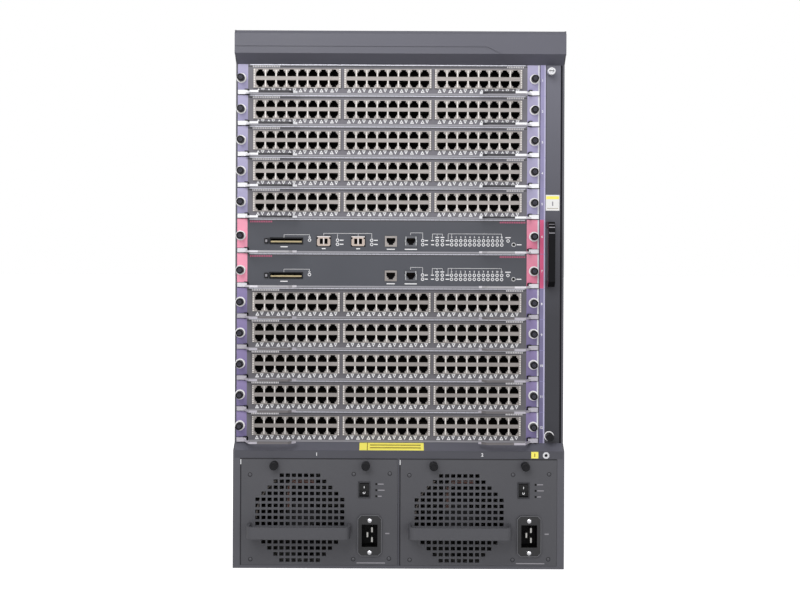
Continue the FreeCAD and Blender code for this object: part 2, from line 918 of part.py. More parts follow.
def add_rocker_well(solid, x0, z0):
    """The frame round the rocker and the well that it rocks in."""
    width = rocker_width + 2 * slide_gap
    height = rocker_height + 2 * slide_gap
    x, z = x0 + rocker_x, z0 + rocker_z
    rim_x = centred(x, width + 2 * rocker_frame)
    rim_z = centred(z, height + 2 * rocker_frame)
    solid = solid.fuse(box(rim_x, (psu_face - rocker_proud, psu_face + rocker_depth), rim_z))
    well_y = (psu_face - rocker_proud, psu_face + rocker_depth - rocker_frame)
    return solid.cut(box(centred(x, width), well_y, centred(z, height)))


def psu_handle(x0, z0):
    """A flat strap bent into a bow, with its feet on the panel."""
    back = psu_face - seat_gap
    front = psu_face - handle_reach
    middle = x0 + vent_x
    half = handle_width / 2
    bands = []
    for inset in (0.0, handle_sheet):
        bend = handle_bend - inset
        x, y = half - inset, front + inset
        turn = bend * (1 - cos(pi / 4))
        points = [
            Vector(middle - x, back, 0),
            Vector(middle - x, y + bend, 0),
            Vector(middle - x + turn, y + turn, 0),
            Vector(middle - x + bend, y, 0),
            Vector(middle + x - bend, y, 0),
            Vector(middle + x - turn, y + turn, 0),
            Vector(middle + x, y + bend, 0),
            Vector(middle + x, back, 0),
        ]
        edges = [
            Part.makeLine(points[0], points[1]),
            Part.Arc(points[1], points[2], points[3]).toShape(),
            Part.makeLine(points[3], points[4]),
            Part.Arc(points[4], points[5], points[6]).toShape(),
            Part.makeLine(points[6], points[7]),
            Part.makeLine(points[7], points[0]),
        ]
        bands.append(Part.Face(Part.Wire(edges)).extrude(Vector(0, 0, handle_band)))
    strap = bands[0].cut(bands[1])
    strap.translate(Vector(0, 0, z0 + handle_z - handle_band / 2))
    return strap


def psu_inlet(x0, z0):
    """The mains inlet: a chamfered plate, a socket with three blades."""
    x, z = x0 + inlet_x, z0 + inlet_z
    w, h, c = inlet_width / 2, inlet_height / 2, inlet_chamfer
    corners = [
        (x - w + c, z - h),
        (x + w - c, z - h),
        (x + w, z - h + c),
        (x + w, z + h - c),
        (x + w - c, z + h),
        (x - w + c, z + h),
        (x - w, z + h - c),
        (x - w, z - h + c),
    ]
    front = psu_face - seat_gap - inlet_plate
    solid = prism_along_y(corners, (front, front + inlet_plate))
    deep = front + inlet_depth
    shroud_x = centred(x, inlet_mouth + 2 * inlet_wall)
    shroud_z = centred(z, inlet_mouth_height + 2 * inlet_wall)
    solid = solid.fuse(box(shroud_x, (front, deep), shroud_z))
    mouth_y = (front, deep - inlet_wall)
    solid = solid.cut(box(centred(x, inlet_mouth), mouth_y, centred(z, inlet_mouth_height)))
    blades = ((-blade_spread / 2, 0.0), (blade_spread / 2, blade_drop), (blade_spread / 2, -blade_drop))
    for u, v in blades:
        blade_y = (front + blade_back, deep)
        blade = box(centred(x + u, blade_width), blade_y, centred(z + v, blade_height))
        solid = solid.fuse(blade)
    return solid.removeSplitter()


def psu_rocker(x0, z0):
    """A rocker with two faces at an angle, tilted to its off side."""
    x, z = x0 + rocker_x, z0 + rocker_z
    half = rocker_height / 2 - rocker_end_gap
    pivot = psu_face - rocker_proud + rocker_rise
    back = pivot + rocker_back
    rise = half * tan(radians(rocker_tilt))
    profile = [
        (pivot, z - half),
        (back, z - half + rocker_taper),
        (back, z + half - rocker_taper),
        (pivot, z + half),
        (pivot - rise, z),
    ]
    solid = prism_along_x(profile, centred(x, rocker_width))
    solid.rotate(Vector(x, pivot, z), Vector(1, 0, 0), rocker_tilt)
    return solid


def make_psus():
    for n in range(2):
        name = f"psu_{n + 1}"
        x0, z0 = psu_left(n), psu_bottom()
        knob_z = z0 + psu_panel_height - psu_knob_drop
        knobs = [knob(x0 + x, knob_z, psu_face, psu_knob_radius, psu_knob_reach) for x in psu_knob_x]
        solids = [psu_front(x0, z0), *psu_case(x0, z0), psu_handle(x0, z0), psu_inlet(x0, z0)]
        save(name, *solids, *knobs)
        save(name + "_rocker", psu_rocker(x0, z0))
        solid = rotor(
            psu_fan_radius, psu_fan_hub, psu_fan_length, psu_fan_blades, psu_fan_blade_pitch
        )
        solid.rotate(Vector(0, 0, 0), Vector(1, 0, 0), -90)
        solid.translate(Vector(x0 + vent_x, psu_face + psu_panel + psu_fan_gap, z0 + vent_z))
        save(name + "_fan_rotor", solid)


os.makedirs("parts", exist_ok=True)
make_side_walls()
make_base()
make_top()
make_rear()
make_psu_bay()
make_strap_socket()
make_bezel()
make_bay_wall()
make_guides()
make_backplane()
make_cards()
make_fan_tray()
make_psus()
print(len(nodes), "nodes,", round(top, 1), "mm high")
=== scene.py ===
import json
import math

import bpy
from mathutils import Matrix, Vector
from mathutils.geometry import tessellate_polygon

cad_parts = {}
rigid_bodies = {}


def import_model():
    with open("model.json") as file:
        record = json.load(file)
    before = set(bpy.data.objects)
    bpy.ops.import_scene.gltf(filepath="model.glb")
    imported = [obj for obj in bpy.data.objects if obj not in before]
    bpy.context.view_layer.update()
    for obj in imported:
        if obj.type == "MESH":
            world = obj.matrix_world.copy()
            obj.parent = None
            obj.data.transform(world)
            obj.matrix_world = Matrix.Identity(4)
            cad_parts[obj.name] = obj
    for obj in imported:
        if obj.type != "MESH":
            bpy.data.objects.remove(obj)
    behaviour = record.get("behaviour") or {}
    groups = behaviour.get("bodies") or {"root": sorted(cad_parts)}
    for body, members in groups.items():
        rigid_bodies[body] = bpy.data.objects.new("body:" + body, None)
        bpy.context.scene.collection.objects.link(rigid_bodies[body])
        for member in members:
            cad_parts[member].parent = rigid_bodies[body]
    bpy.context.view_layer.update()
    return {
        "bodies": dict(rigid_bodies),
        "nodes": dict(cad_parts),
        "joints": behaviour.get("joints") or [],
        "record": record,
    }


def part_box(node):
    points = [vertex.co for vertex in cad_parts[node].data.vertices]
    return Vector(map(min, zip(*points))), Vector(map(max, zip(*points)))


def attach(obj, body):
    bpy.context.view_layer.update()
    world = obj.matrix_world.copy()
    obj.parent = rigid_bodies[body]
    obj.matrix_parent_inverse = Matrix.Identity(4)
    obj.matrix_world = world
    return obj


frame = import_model()
nodes = frame["nodes"]
mm = 0.001

# Places taken from the frame, in millimetres
lineCards = [f"line_card_{n:02d}" for n in range(1, 11)]
mpuCards = ["mpu_card_1", "mpu_card_2"]
allCards = lineCards[:5] + mpuCards + lineCards[5:]      # from the top slot down
cardLow = {name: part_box(name)[0].z / mm for name in allCards}
cardHigh = {name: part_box(name)[1].z / mm for name in allCards}
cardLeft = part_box("line_card_01")[0].x / mm
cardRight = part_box("line_card_01")[1].x / mm
cardWidth = cardRight - cardLeft
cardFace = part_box("fan_bay_wall")[0].y / mm
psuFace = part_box("base_panel")[0].y / mm
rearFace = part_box("rear_panel")[1].y / mm
wallLow, wallHigh = (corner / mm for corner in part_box("side_walls"))
trayLow, trayHigh = (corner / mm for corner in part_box("fan_tray"))
stripLow, stripHigh = (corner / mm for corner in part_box("fan_bay_wall"))
print("frame loaded:", len(nodes), "nodes")


# Camera, square to the front

view = {"x": 0.5, "z": 416.8, "distance": 1700.0, "lens": 58.24, "roll": -0.258, "shiftY": -0.06}


def addCamera():
    data = bpy.data.cameras.new("frontCamera")
    data.lens = view["lens"]
    data.shift_y = view["shiftY"]
    cam = bpy.data.objects.new("frontCamera", data)
    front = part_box("top_bezel")[0].y / mm
    cam.location = Vector((view["x"], front - view["distance"], view["z"])) * mm
    cam.rotation_euler = (math.radians(90), math.radians(view["roll"]), 0)
    bpy.context.scene.collection.objects.link(cam)
    bpy.context.scene.camera = cam


# Shapes: lists of corners, in millimetres, and of faces

boxFaces = [(0, 2, 3, 1), (4, 5, 7, 6), (0, 1, 5, 4), (2, 6, 7, 3), (0, 4, 6, 2), (1, 3, 7, 5)]


def newShape():
    return {"verts": [], "faces": []}


def addFaces(shape, verts, faces):
    start = len(shape["verts"])
    shape["verts"] += [tuple(v) for v in verts]
    shape["faces"] += [tuple(start + i for i in face) for face in faces]


def addBox(shape, x, y, z):
    addFaces(shape, [(a, b, c) for c in z for b in y for a in x], boxFaces)


def addTube(shape, rings):
    # A closed skin over rings of corners that turn left as seen from the far end
    sides = len(rings[0])
    last = (len(rings) - 1) * sides
    faces = [tuple(reversed(range(sides))), tuple(range(last, last + sides))]
    for start in range(0, last, sides):
        for i in range(sides):
            j = (i + 1) % sides
            faces.append((start + i, start + j, start + sides + j, start + sides + i))
    addFaces(shape, [corner for ring in rings for corner in ring], faces)


def turnOf(loop):
    return sum(a[0] * b[1] - b[0] * a[1] for a, b in zip(loop, loop[1:] + loop[:1]))


def addPlate(shape, outer, holes, y):
    # A flat plate across Y, from outlines in (x, z)
    loops = [outer if turnOf(outer) > 0 else outer[::-1]]
    loops += [hole if turnOf(hole) < 0 else hole[::-1] for hole in holes]
    flat = [point for loop in loops for point in loop]
    count = len(flat)
    verts = [(x, y[0], z) for x, z in flat] + [(x, y[1], z) for x, z in flat]
    faces = []
    for a, b, c in tessellate_polygon([[Vector((x, z, 0)) for x, z in loop] for loop in loops]):
        if turnOf([flat[a], flat[b], flat[c]]) < 0:
            a, c = c, a
        faces += [(a, b, c), (count + a, count + c, count + b)]
    start = 0
    for loop in loops:
        for i in range(len(loop)):
            here, there = start + i, start + (i + 1) % len(loop)
            faces.append((here, here + count, there + count, there))
        start += len(loop)
    addFaces(shape, verts, faces)


def addLathe(shape, x, z, profile, sides=24, knurl=None, closed=False):
    # Turned about an axis along Y; the profile is (y, radius), from the front to the back.
    # A knurl is (depth, smallest radius that has it)
    rings, verts, faces = [], [], []
    for y, radius in profile:
        if radius == 0:
            rings.append([len(verts)] * sides)
            verts.append((x, y, z))
            continue
        rings.append([len(verts) + i for i in range(sides)])
        for i in range(sides):
            angle = 2 * math.pi * i / sides
            reach = radius + (knurl[0] if knurl and i % 2 and radius > knurl[1] else 0)
            verts.append((x + reach * math.cos(angle), y, z + reach * math.sin(angle)))
    for near, far in zip(rings, rings[1:] + (rings[:1] if closed else [])):
        for i in range(sides):
            j = (i + 1) % sides
            faces.append(tuple(dict.fromkeys((near[i], far[i], far[j], near[j]))))
    addFaces(shape, verts, faces)


def circle(radius, sides):
    angles = [2 * math.pi * i / sides for i in range(sides)]
    return [(radius * math.cos(a), radius * math.sin(a)) for a in angles]


def rectOutline(x, z):
    return [(x[0], z[0]), (x[1], z[0]), (x[1], z[1]), (x[0], z[1])]


def chamferedOutline(x, z, size, cut):
    w, h = size[0] / 2, size[1] / 2
    corners = [(-w + cut, -h), (w - cut, -h), (w, -h + cut), (w, h - cut), (w - cut, h), (-w + cut, h),
               (-w, h - cut), (-w, -h + cut)]
    return [(x + u, z + v) for u, v in corners]


def about(middle, size):
    return (middle - size / 2, middle + size / 2)


def mergeShapes(*shapes):
    whole = newShape()
    for shape in shapes:
        addFaces(whole, shape["verts"], shape["faces"])
    return whole


def carryBack(shape, y):
    shape["verts"] = [(u, v + y, w) for u, v, w in shape["verts"]]
    return shape


def turned(profile, sides, closed=False):
    shape = newShape()
    addLathe(shape, 0, 0, profile, sides, closed=closed)
    return shape


# Meshes and pieces

def shapeMesh(shape, material, smooth=None):
    mesh = bpy.data.meshes.new("part")
    mesh.from_pydata([tuple(c * mm for c in v) for v in shape["verts"]], [], shape["faces"])
    mesh.materials.append(material)
    if smooth:
        mesh.polygons.foreach_set("use_smooth", [True] * len(mesh.polygons))
        mesh.set_sharp_from_angle(angle=math.radians(smooth))
    mesh.update()
    return mesh


def addObject(name, data):
    holder = bpy.data.objects.new(name, data)
    bpy.context.scene.collection.objects.link(holder)
    return holder


def meshOf(holder):
    # The plain mesh of an object as it is with its modifiers
    return bpy.data.meshes.new_from_object(holder.evaluated_get(bpy.context.evaluated_depsgraph_get()))


def placeMesh(name, mesh, body, slot, offset=(0, 0, 0), copy=False):
    # Puts a mesh down as a piece of its own that rides on a body; its place is in the mesh
    if copy:
        mesh = mesh.copy()
    mesh.name = name
    mesh.transform(Matrix.Translation(Vector(offset) * mm))
    piece = addObject(name, mesh)
    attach(piece, body)


def placeShape(name, shape, material, body, slot, smooth=None):
    placeMesh(name, shapeMesh(shape, material, smooth), body, slot)


def placeBox(name, x, y, z, *home):
    # One block as a piece of its own; home is its material, body and slot
    shape = newShape()
    addBox(shape, x, y, z)
    placeShape(name, shape, *home)


def frontOf(node, x, z):
    # How far forward a piece of the frame reaches at a place
    graph = bpy.context.evaluated_depsgraph_get()
    start, ahead = Vector((x, -400, z)) * mm, Vector((0, 1, 0))
    hit, place = nodes[node].ray_cast(start, ahead, depsgraph=graph)[:2]
    if not hit:
        raise ValueError(f"{node} isn't met at {x}, {z}")
    return place.y / mm


def digitMesh(text, size, x, z, y, material, bold):
    curve = bpy.data.curves.new("digits", "FONT")
    curve.body = text
    curve.size = size * mm
    curve.extrude = 0.06 * mm
    curve.offset = bold * mm
    curve.resolution_u = 3
    curve.align_x = "CENTER"
    curve.align_y = "CENTER"
    holder = addObject("digits", curve)
    mesh = meshOf(holder)
    bpy.data.objects.remove(holder)
    mesh.transform(Matrix.Translation(Vector((x, y, z)) * mm) @ Matrix.Rotation(math.pi / 2, 4, "X"))
    mesh.materials.clear()
    mesh.materials.append(material)
    return mesh


def joinMeshes(meshes, material):
    shape = newShape()
    for mesh in meshes:
        verts = [tuple(c / mm for c in v.co) for v in mesh.vertices]
        addFaces(shape, verts, [tuple(p.vertices) for p in mesh.polygons])
        bpy.data.meshes.remove(mesh)
    return shapeMesh(shape, material)


# Repeats, with Geometry Nodes

def treeStart(name, inputs):
    tree = bpy.data.node_groups.new(name, "GeometryNodeTree")
    tree.interface.new_socket("Geometry", in_out="INPUT", socket_type="NodeSocketGeometry")
    for label, kind in inputs:
        tree.interface.new_socket(label, in_out="INPUT", socket_type=kind)
    tree.interface.new_socket("Geometry", in_out="OUTPUT", socket_type="NodeSocketGeometry")
    return tree, tree.nodes.new("NodeGroupInput"), tree.nodes.new("NodeGroupOutput")


def finishTree(tree, start, end, geometry):
    realize = tree.nodes.new("GeometryNodeRealizeInstances")
    finish = tree.nodes.new("GeometryNodeSetMaterial")
    tree.links.new(geometry, realize.inputs["Geometry"])
    tree.links.new(realize.outputs["Geometry"], finish.inputs["Geometry"])
    tree.links.new(start.outputs["Material"], finish.inputs["Material"])
    tree.links.new(finish.outputs["Geometry"], end.inputs["Geometry"])
    return tree


def makeBoxRowTree():
    # A row of blocks about each point: block size, how many and the step between them
    inputs = (("Size", "NodeSocketVector"), ("Count", "NodeSocketInt"),
              ("Step", "NodeSocketVector"), ("Material", "NodeSocketMaterial"))
    tree, start, end = treeStart("boxRows", inputs)
    cube = tree.nodes.new("GeometryNodeMeshCube")
    line = tree.nodes.new("GeometryNodeMeshLine")
    halfRow = tree.nodes.new("ShaderNodeMath")        # (1 - count) / 2 steps back from the point
    halfRow.operation = "MULTIPLY_ADD"
    halfRow.inputs[1].default_value = -0.5
    halfRow.inputs[2].default_value = 0.5
    back = tree.nodes.new("ShaderNodeVectorMath")
    back.operation = "SCALE"
    row = tree.nodes.new("GeometryNodeInstanceOnPoints")
    spread = tree.nodes.new("GeometryNodeInstanceOnPoints")
    join = tree.links.new
    join(start.outputs["Size"], cube.inputs["Size"])
    join(start.outputs["Count"], line.inputs["Count"])
    join(start.outputs["Count"], halfRow.inputs[0])
    join(start.outputs["Step"], back.inputs[0])
    join(halfRow.outputs[0], back.inputs["Scale"])
    join(back.outputs[0], line.inputs["Start Location"])
    join(start.outputs["Step"], line.inputs["Offset"])
    join(line.outputs["Mesh"], row.inputs["Points"])
    join(cube.outputs["Mesh"], row.inputs["Instance"])
    join(start.outputs["Geometry"], spread.inputs["Points"])
    join(row.outputs["Instances"], spread.inputs["Instance"])
    return finishTree(tree, start, end, spread.outputs["Instances"])


def makePartTree():
    # A copy of one small part at each point
    inputs = (("Part", "NodeSocketObject"), ("Material", "NodeSocketMaterial"))
    tree, start, end = treeStart("partsOnPoints", inputs)
    info = tree.nodes.new("GeometryNodeObjectInfo")
    spread = tree.nodes.new("GeometryNodeInstanceOnPoints")
    tree.links.new(start.outputs["Part"], info.inputs["Object"])
    tree.links.new(start.outputs["Geometry"], spread.inputs["Points"])
    tree.links.new(info.outputs["Geometry"], spread.inputs["Instance"])
    return finishTree(tree, start, end, spread.outputs["Instances"])


def runTree(tree, points, settings):
    mesh = bpy.data.meshes.new("seeds")
    mesh.from_pydata([tuple(c * mm for c in point) for point in points], [], [])
    holder = addObject("seeds", mesh)
    rows = holder.modifiers.new("rows", "NODES")
    rows.node_group = tree
    for item in tree.interface.items_tree:
        if item.in_out == "INPUT" and item.name in settings:
            rows[item.identifier] = settings[item.name]
    made = meshOf(holder)
    holder.modifiers.remove(rows)
    bpy.data.objects.remove(holder)
    return made


def boxRows(points, size, material, count=1, step=(0, 0, 0)):
    settings = {"Size": [s * mm for s in size], "Count": count, "Step": [s * mm for s in step],
                "Material": material}
    return runTree(boxRowTree, points, settings)


def partsOnPoints(shape, points, material, smooth=None):
    part = addObject("smallPart", shapeMesh(shape, material, smooth))
    made = runTree(partTree, points, {"Part": part, "Material": material})
    bpy.data.objects.remove(part)
    return made


boxRowTree = makeBoxRowTree()
partTree = makePartTree()


# Shader groups shared by the materials

def screenColour(r, g, b):
    def one(value):
        value /= 255
        return value / 12.92 if value <= 0.04045 else ((value + 0.055) / 1.055) ** 2.4
    return (one(r), one(g), one(b), 1.0)


def shaderGroup(name, inputs, outputs):
    tree = bpy.data.node_groups.new(name, "ShaderNodeTree")
    for label, kind in inputs:
        tree.interface.new_socket(label, in_out="INPUT", socket_type=kind)
    for label, kind in outputs:
        tree.interface.new_socket(label, in_out="OUTPUT", socket_type=kind)
    return tree, tree.nodes.new("NodeGroupInput"), tree.nodes.new("NodeGroupOutput")


def fillSockets(tree, sockets, values):
    for socket, value in zip(sockets, values):
        if isinstance(value, bpy.types.NodeSocket):
            tree.links.new(value, socket)
        else:
            socket.default_value = value


def mathNode(tree, operation, *values, clamp=False):
    node = tree.nodes.new("ShaderNodeMath")
    node.operation = operation
    node.use_clamp = clamp
    fillSockets(tree, node.inputs, values)
    return node.outputs[0]


def vectorNode(tree, operation, *values):
    node = tree.nodes.new("ShaderNodeVectorMath")
    node.operation = operation
    fillSockets(tree, node.inputs, values)
    return node.outputs[0]


def scaledColour(tree, colour, share):
    node = tree.nodes.new("ShaderNodeVectorMath")
    node.operation = "SCALE"
    fillSockets(tree, (node.inputs[0], node.inputs["Scale"]), (colour, share))
    return node.outputs[0]


def noise(tree, vector, scale, detail):
    node = tree.nodes.new("ShaderNodeTexNoise")
    sockets = [node.inputs[label] for label in ("Vector", "Scale", "Detail")]
    fillSockets(tree, sockets, (vector, scale, detail))
    return node.outputs["Fac"]


def makeBoxMask():
    # 1 inside a block of space, 0 outside it
    inputs = (("Vector", "NodeSocketVector"), ("Low", "NodeSocketVector"), ("High", "NodeSocketVector"))
    tree, start, end = shaderGroup("boxMask", inputs, (("Mask", "NodeSocketFloat"),))
    place = start.outputs["Vector"]
    low = vectorNode(tree, "SUBTRACT", place, start.outputs["Low"])
    high = vectorNode(tree, "SUBTRACT", start.outputs["High"], place)
    split = tree.nodes.new("ShaderNodeSeparateXYZ")
    tree.links.new(vectorNode(tree, "MINIMUM", low, high), split.inputs[0])
    inner = mathNode(tree, "MINIMUM", split.outputs["X"], split.outputs["Y"])
    inner = mathNode(tree, "MINIMUM", inner, split.outputs["Z"])
    tree.links.new(mathNode(tree, "GREATER_THAN", inner, 0.0), end.inputs["Mask"])
    return tree


grainOutputs = (("Colour", "NodeSocketColor"), ("Roughness", "NodeSocketFloat"),
                ("Height", "NodeSocketFloat"))


def finishGrain(tree, start, end, swing, uneven, height):
    # Tone, roughness and height of a grain: swing is about 0, and so is uneven
    tone = mathNode(tree, "ADD", swing, 1.0)
    rough = mathNode(tree, "ADD", start.outputs["Roughness"], uneven, clamp=True)
    tree.links.new(scaledColour(tree, start.outputs["Colour"], tone), end.inputs["Colour"])
    tree.links.new(rough, end.inputs["Roughness"])
    tree.links.new(height, end.inputs["Height"])
    return tree


def makePaintGrain():
    # Powder coat: a faint mottle, a fine orange peel and a slightly uneven sheen
    inputs = (("Vector", "NodeSocketVector"), ("Colour", "NodeSocketColor"), ("Mottle", "NodeSocketFloat"),
              ("Grain Size", "NodeSocketFloat"), ("Roughness", "NodeSocketFloat"))
    tree, start, end = shaderGroup("paintGrain", inputs, grainOutputs)
    cloud = noise(tree, start.outputs["Vector"], 9.0, 5.0)
    grain = noise(tree, start.outputs["Vector"], start.outputs["Grain Size"], 2.0)
    both = mathNode(tree, "ADD", cloud, mathNode(tree, "MULTIPLY", grain, 0.5))
    even = mathNode(tree, "SUBTRACT", both, 0.75)
    swing = mathNode(tree, "MULTIPLY", even, start.outputs["Mottle"])
    return finishGrain(tree, start, end, swing, mathNode(tree, "MULTIPLY", even, 0.25), grain)


def makeBrushedMetal():
    # Fine lines drawn along X, with a slow change of tone
    inputs = (("Vector", "NodeSocketVector"), ("Colour", "NodeSocketColor"),
              ("Strength", "NodeSocketFloat"), ("Roughness", "NodeSocketFloat"))
    tree, start, end = shaderGroup("brushedMetal", inputs, grainOutputs)
    stretched = vectorNode(tree, "MULTIPLY", start.outputs["Vector"], (40.0, 900.0, 900.0))
    lines = noise(tree, stretched, 1.0, 3.0)
    both = mathNode(tree, "ADD", lines, noise(tree, start.outputs["Vector"], 14.0, 2.0))
    swing = mathNode(tree, "MULTIPLY", mathNode(tree, "SUBTRACT", both, 1.0), start.outputs["Strength"])
    return finishGrain(tree, start, end, swing, mathNode(tree, "MULTIPLY", swing, 0.4), lines)


boxMaskGroup = makeBoxMask()
paintGrainGroup = makePaintGrain()
brushedMetalGroup = makeBrushedMetal()


# Materials

def newMaterial(name):
    material = bpy.data.materials.new(name)
    material.use_nodes = True
    tree = material.node_tree
    shader = tree.nodes["Principled BSDF"]
    place = tree.nodes.new("ShaderNodeTexCoord").outputs["Object"]
    return material, tree, shader, place


def addGroup(tree, group, values, links):
    node = tree.nodes.new("ShaderNodeGroup")
    node.node_tree = group
    for label, value in values.items():
        node.inputs[label].default_value = value
    for label, socket in links.items():
        tree.links.new(socket, node.inputs[label])
    return node


def dressShader(tree, shader, colour, rough, height, depth):
    bump = tree.nodes.new("ShaderNodeBump")
    bump.inputs["Strength"].default_value = 0.35
    bump.inputs["Distance"].default_value = depth * mm
    tree.links.new(height, bump.inputs["Height"])
    tree.links.new(bump.outputs["Normal"], shader.inputs["Normal"])
    tree.links.new(colour, shader.inputs["Base Color"])
    tree.links.new(rough, shader.inputs["Roughness"])


def mixColour(tree, mask, first, second):
    mix = tree.nodes.new("ShaderNodeMix")
    mix.data_type = "RGBA"
    colours = [socket for socket in mix.inputs if socket.type == "RGBA"]
    fillSockets(tree, [mix.inputs["Factor"]] + colours, (mask, first, second))
    return [socket for socket in mix.outputs if socket.type == "RGBA"][0]


def boxMask(tree, place, x, y, z):
    low = [min(span) * mm for span in (x, y, z)]
    high = [max(span) * mm for span in (x, y, z)]
    return addGroup(tree, boxMaskGroup, {"Low": low, "High": high}, {"Vector": place}).outputs["Mask"]


def heightShare(tree, place, low, high, first=0.0, last=1.0):
    # A number that runs from first to last between two heights
    split = tree.nodes.new("ShaderNodeSeparateXYZ")
    tree.links.new(place, split.inputs[0])
    share = tree.nodes.new("ShaderNodeMapRange")
    sockets = [share.inputs[label] for label in ("Value", "From Min", "From Max", "To Min", "To Max")]
    fillSockets(tree, sockets, (split.outputs["Z"], low * mm, high * mm, first, last))
    return share.outputs["Result"]


def fadeAlong(tree, place, colour, shadeRamp):
    # Painted shade: a tone that changes slowly with height, darker lower down: (low, high, tone at low,
    # tone at high)
    return scaledColour(tree, colour, heightShare(tree, place, *shadeRamp)) if shadeRamp else colour


def paint(name, colour, roughness=0.5, mottle=0.16, grain=900.0, coat=0.0, gloss=0.5):
    material, tree, shader, place = newMaterial(name)
    shader.inputs["Specular IOR Level"].default_value = gloss
    shader.inputs["Coat Weight"].default_value = coat
    values = {"Colour": screenColour(*colour), "Mottle": mottle, "Grain Size": grain,
              "Roughness": roughness}
    made = addGroup(tree, paintGrainGroup, values, {"Vector": place}).outputs
    dressShader(tree, shader, made["Colour"], made["Roughness"], made["Height"], 0.05)
    return material


def metal(name, colour, roughness=0.3, strength=0.2, metallic=1.0, shadeRamp=None):
    material, tree, shader, place = newMaterial(name)
    shader.inputs["Metallic"].default_value = metallic
    values = {"Colour": screenColour(*colour), "Strength": strength, "Roughness": roughness}
    made = addGroup(tree, brushedMetalGroup, values, {"Vector": place}).outputs
    tone = fadeAlong(tree, place, made["Colour"], shadeRamp)
    dressShader(tree, shader, tone, made["Roughness"], made["Height"], 0.02)
    return material


def patched(name, base, patches):
    # A painted base with other finishes, and with painted light and shade, in blocks of space: (x, y, z,
    # colour, roughness, metallic).
    # A dull black is given as a dark metal, because black paint would still mirror the studio
    material, tree, shader, place = newMaterial(name)
    shader.inputs["Specular IOR Level"].default_value = base.get("gloss", 0.5)
    values = {"Colour": screenColour(*base["colour"]), "Mottle": base.get("mottle", 0.16),
              "Grain Size": 900.0, "Roughness": base.get("roughness", 0.5)}
    made = addGroup(tree, paintGrainGroup, values, {"Vector": place}).outputs
    colour = fadeAlong(tree, place, made["Colour"], base.get("shadeRamp"))
    rough, metallic = made["Roughness"], None
    for x, y, z, tint, sheen, shine in patches:
        mask = boxMask(tree, place, x, y, z)
        outside = mathNode(tree, "SUBTRACT", 1.0, mask)
        inner = {"Mottle": 0.14, "Grain Size": 700.0, "Roughness": sheen}
        links = {"Vector": place}
        if isinstance(tint[0], tuple):        # an upper and a lower colour
            share = heightShare(tree, place, min(z), max(z))
            links["Colour"] = mixColour(tree, share, screenColour(*tint[1]), screenColour(*tint[0]))
        else:
            inner["Colour"] = screenColour(*tint)
        patch = addGroup(tree, paintGrainGroup, inner, links).outputs
        colour = mixColour(tree, mask, colour, patch["Colour"])
        keep = mathNode(tree, "MULTIPLY", rough, outside)
        rough = mathNode(tree, "ADD", keep, mathNode(tree, "MULTIPLY", patch["Roughness"], mask))
        if shine:
            part = mathNode(tree, "MULTIPLY", mask, shine)
            metallic = part if metallic is None else mathNode(tree, "MAXIMUM", metallic, part)
        elif metallic is not None:
            metallic = mathNode(tree, "MULTIPLY", metallic, outside)
    if metallic is not None:
        tree.links.new(metallic, shader.inputs["Metallic"])
    dressShader(tree, shader, colour, rough, made["Height"], 0.05)
    return material


chassisPaint = paint("chassisPaint", (84, 84, 91), roughness=0.5)
bezelPlastic = paint("bezelPlastic", (89, 89, 100), roughness=0.42, grain=1400.0)
zincSheet = metal("zincSheet", (168, 168, 166), roughness=0.42, metallic=0.85)
boardGreen = paint("boardGreen", (28, 74, 44), roughness=0.35, grain=500.0)
guidePlastic = paint("guidePlastic", (34, 34, 36), roughness=0.55)
rotorPlastic = paint("rotorPlastic", (30, 30, 33), roughness=0.4)
rockerGloss = paint("rockerGloss", (16, 16, 18), roughness=0.3, coat=0.1, gloss=0.3)
blackKnob = paint("blackKnob", (15, 15, 19), roughness=0.42, gloss=0.25)
knobCap = paint("knobCap", (66, 65, 78), roughness=0.5, gloss=0.3)
blackInsert = paint("blackInsert", (9, 8, 8), roughness=0.75, gloss=0.2)
# The jack shields are painted darker towards the bottom of the rack: painted shade
shieldMetal = metal("shieldMetal", (158, 152, 149), roughness=0.42, metallic=0.35, strength=0.5,
                    shadeRamp=(150, 520, 0.82, 1.0))
ribMetal = metal("ribMetal", (236, 232, 228), roughness=0.36, metallic=0.1, strength=0.2)
gasketMetal = metal("gasketMetal", (196, 196, 206), roughness=0.36, metallic=0.6, strength=0.12)
brightSteel = metal("brightSteel", (232, 232, 236), roughness=0.22, metallic=0.8, strength=0.08)
goldContact = metal("goldContact", (196, 180, 142), roughness=0.4, metallic=0.4)
collarMetal = metal("collarMetal", (255, 253, 255), roughness=0.35, metallic=0.0, strength=0.04)
printGrey = paint("printGrey", (204, 202, 204), roughness=0.6, mottle=0.08)
printDim = paint("printDim", (150, 148, 154), roughness=0.6, mottle=0.08)
printWhite = paint("printWhite", (240, 240, 242), roughness=0.6, mottle=0.06)
lampDark = paint("lampDark", (78, 79, 86), roughness=0.35, mottle=0.1)
moduleBeige = paint("moduleBeige", (194, 178, 168), roughness=0.5)
moduleRim = paint("moduleRim", (232, 226, 226), roughness=0.4)
socketGrey = paint("socketGrey", (92, 93, 99), roughness=0.4)
springSteel = metal("springSteel", (176, 178, 180), roughness=0.35, metallic=0.4)
stickerYellow = paint("stickerYellow", (255, 243, 108), roughness=0.55, mottle=0.08)
stickerWhite = paint("stickerWhite", (236, 236, 234), roughness=0.55, mottle=0.05)
stickerLine = paint("stickerLine", (120, 96, 30), roughness=0.6, mottle=0.1)
slotLavender = paint("slotLavender", (146, 140, 192), roughness=0.5, mottle=0.12)
printPink = paint("printPink", (178, 86, 116), roughness=0.6)
wireRed = paint("wireRed", (112, 66, 58), roughness=0.5)
wireWhite = paint("wireWhite", (128, 120, 116), roughness=0.5)
psuPaint = paint("psuPaint", (78, 78, 83), roughness=0.44)
psuDark = paint("psuDark", (44, 44, 48), roughness=0.5, gloss=0.3)
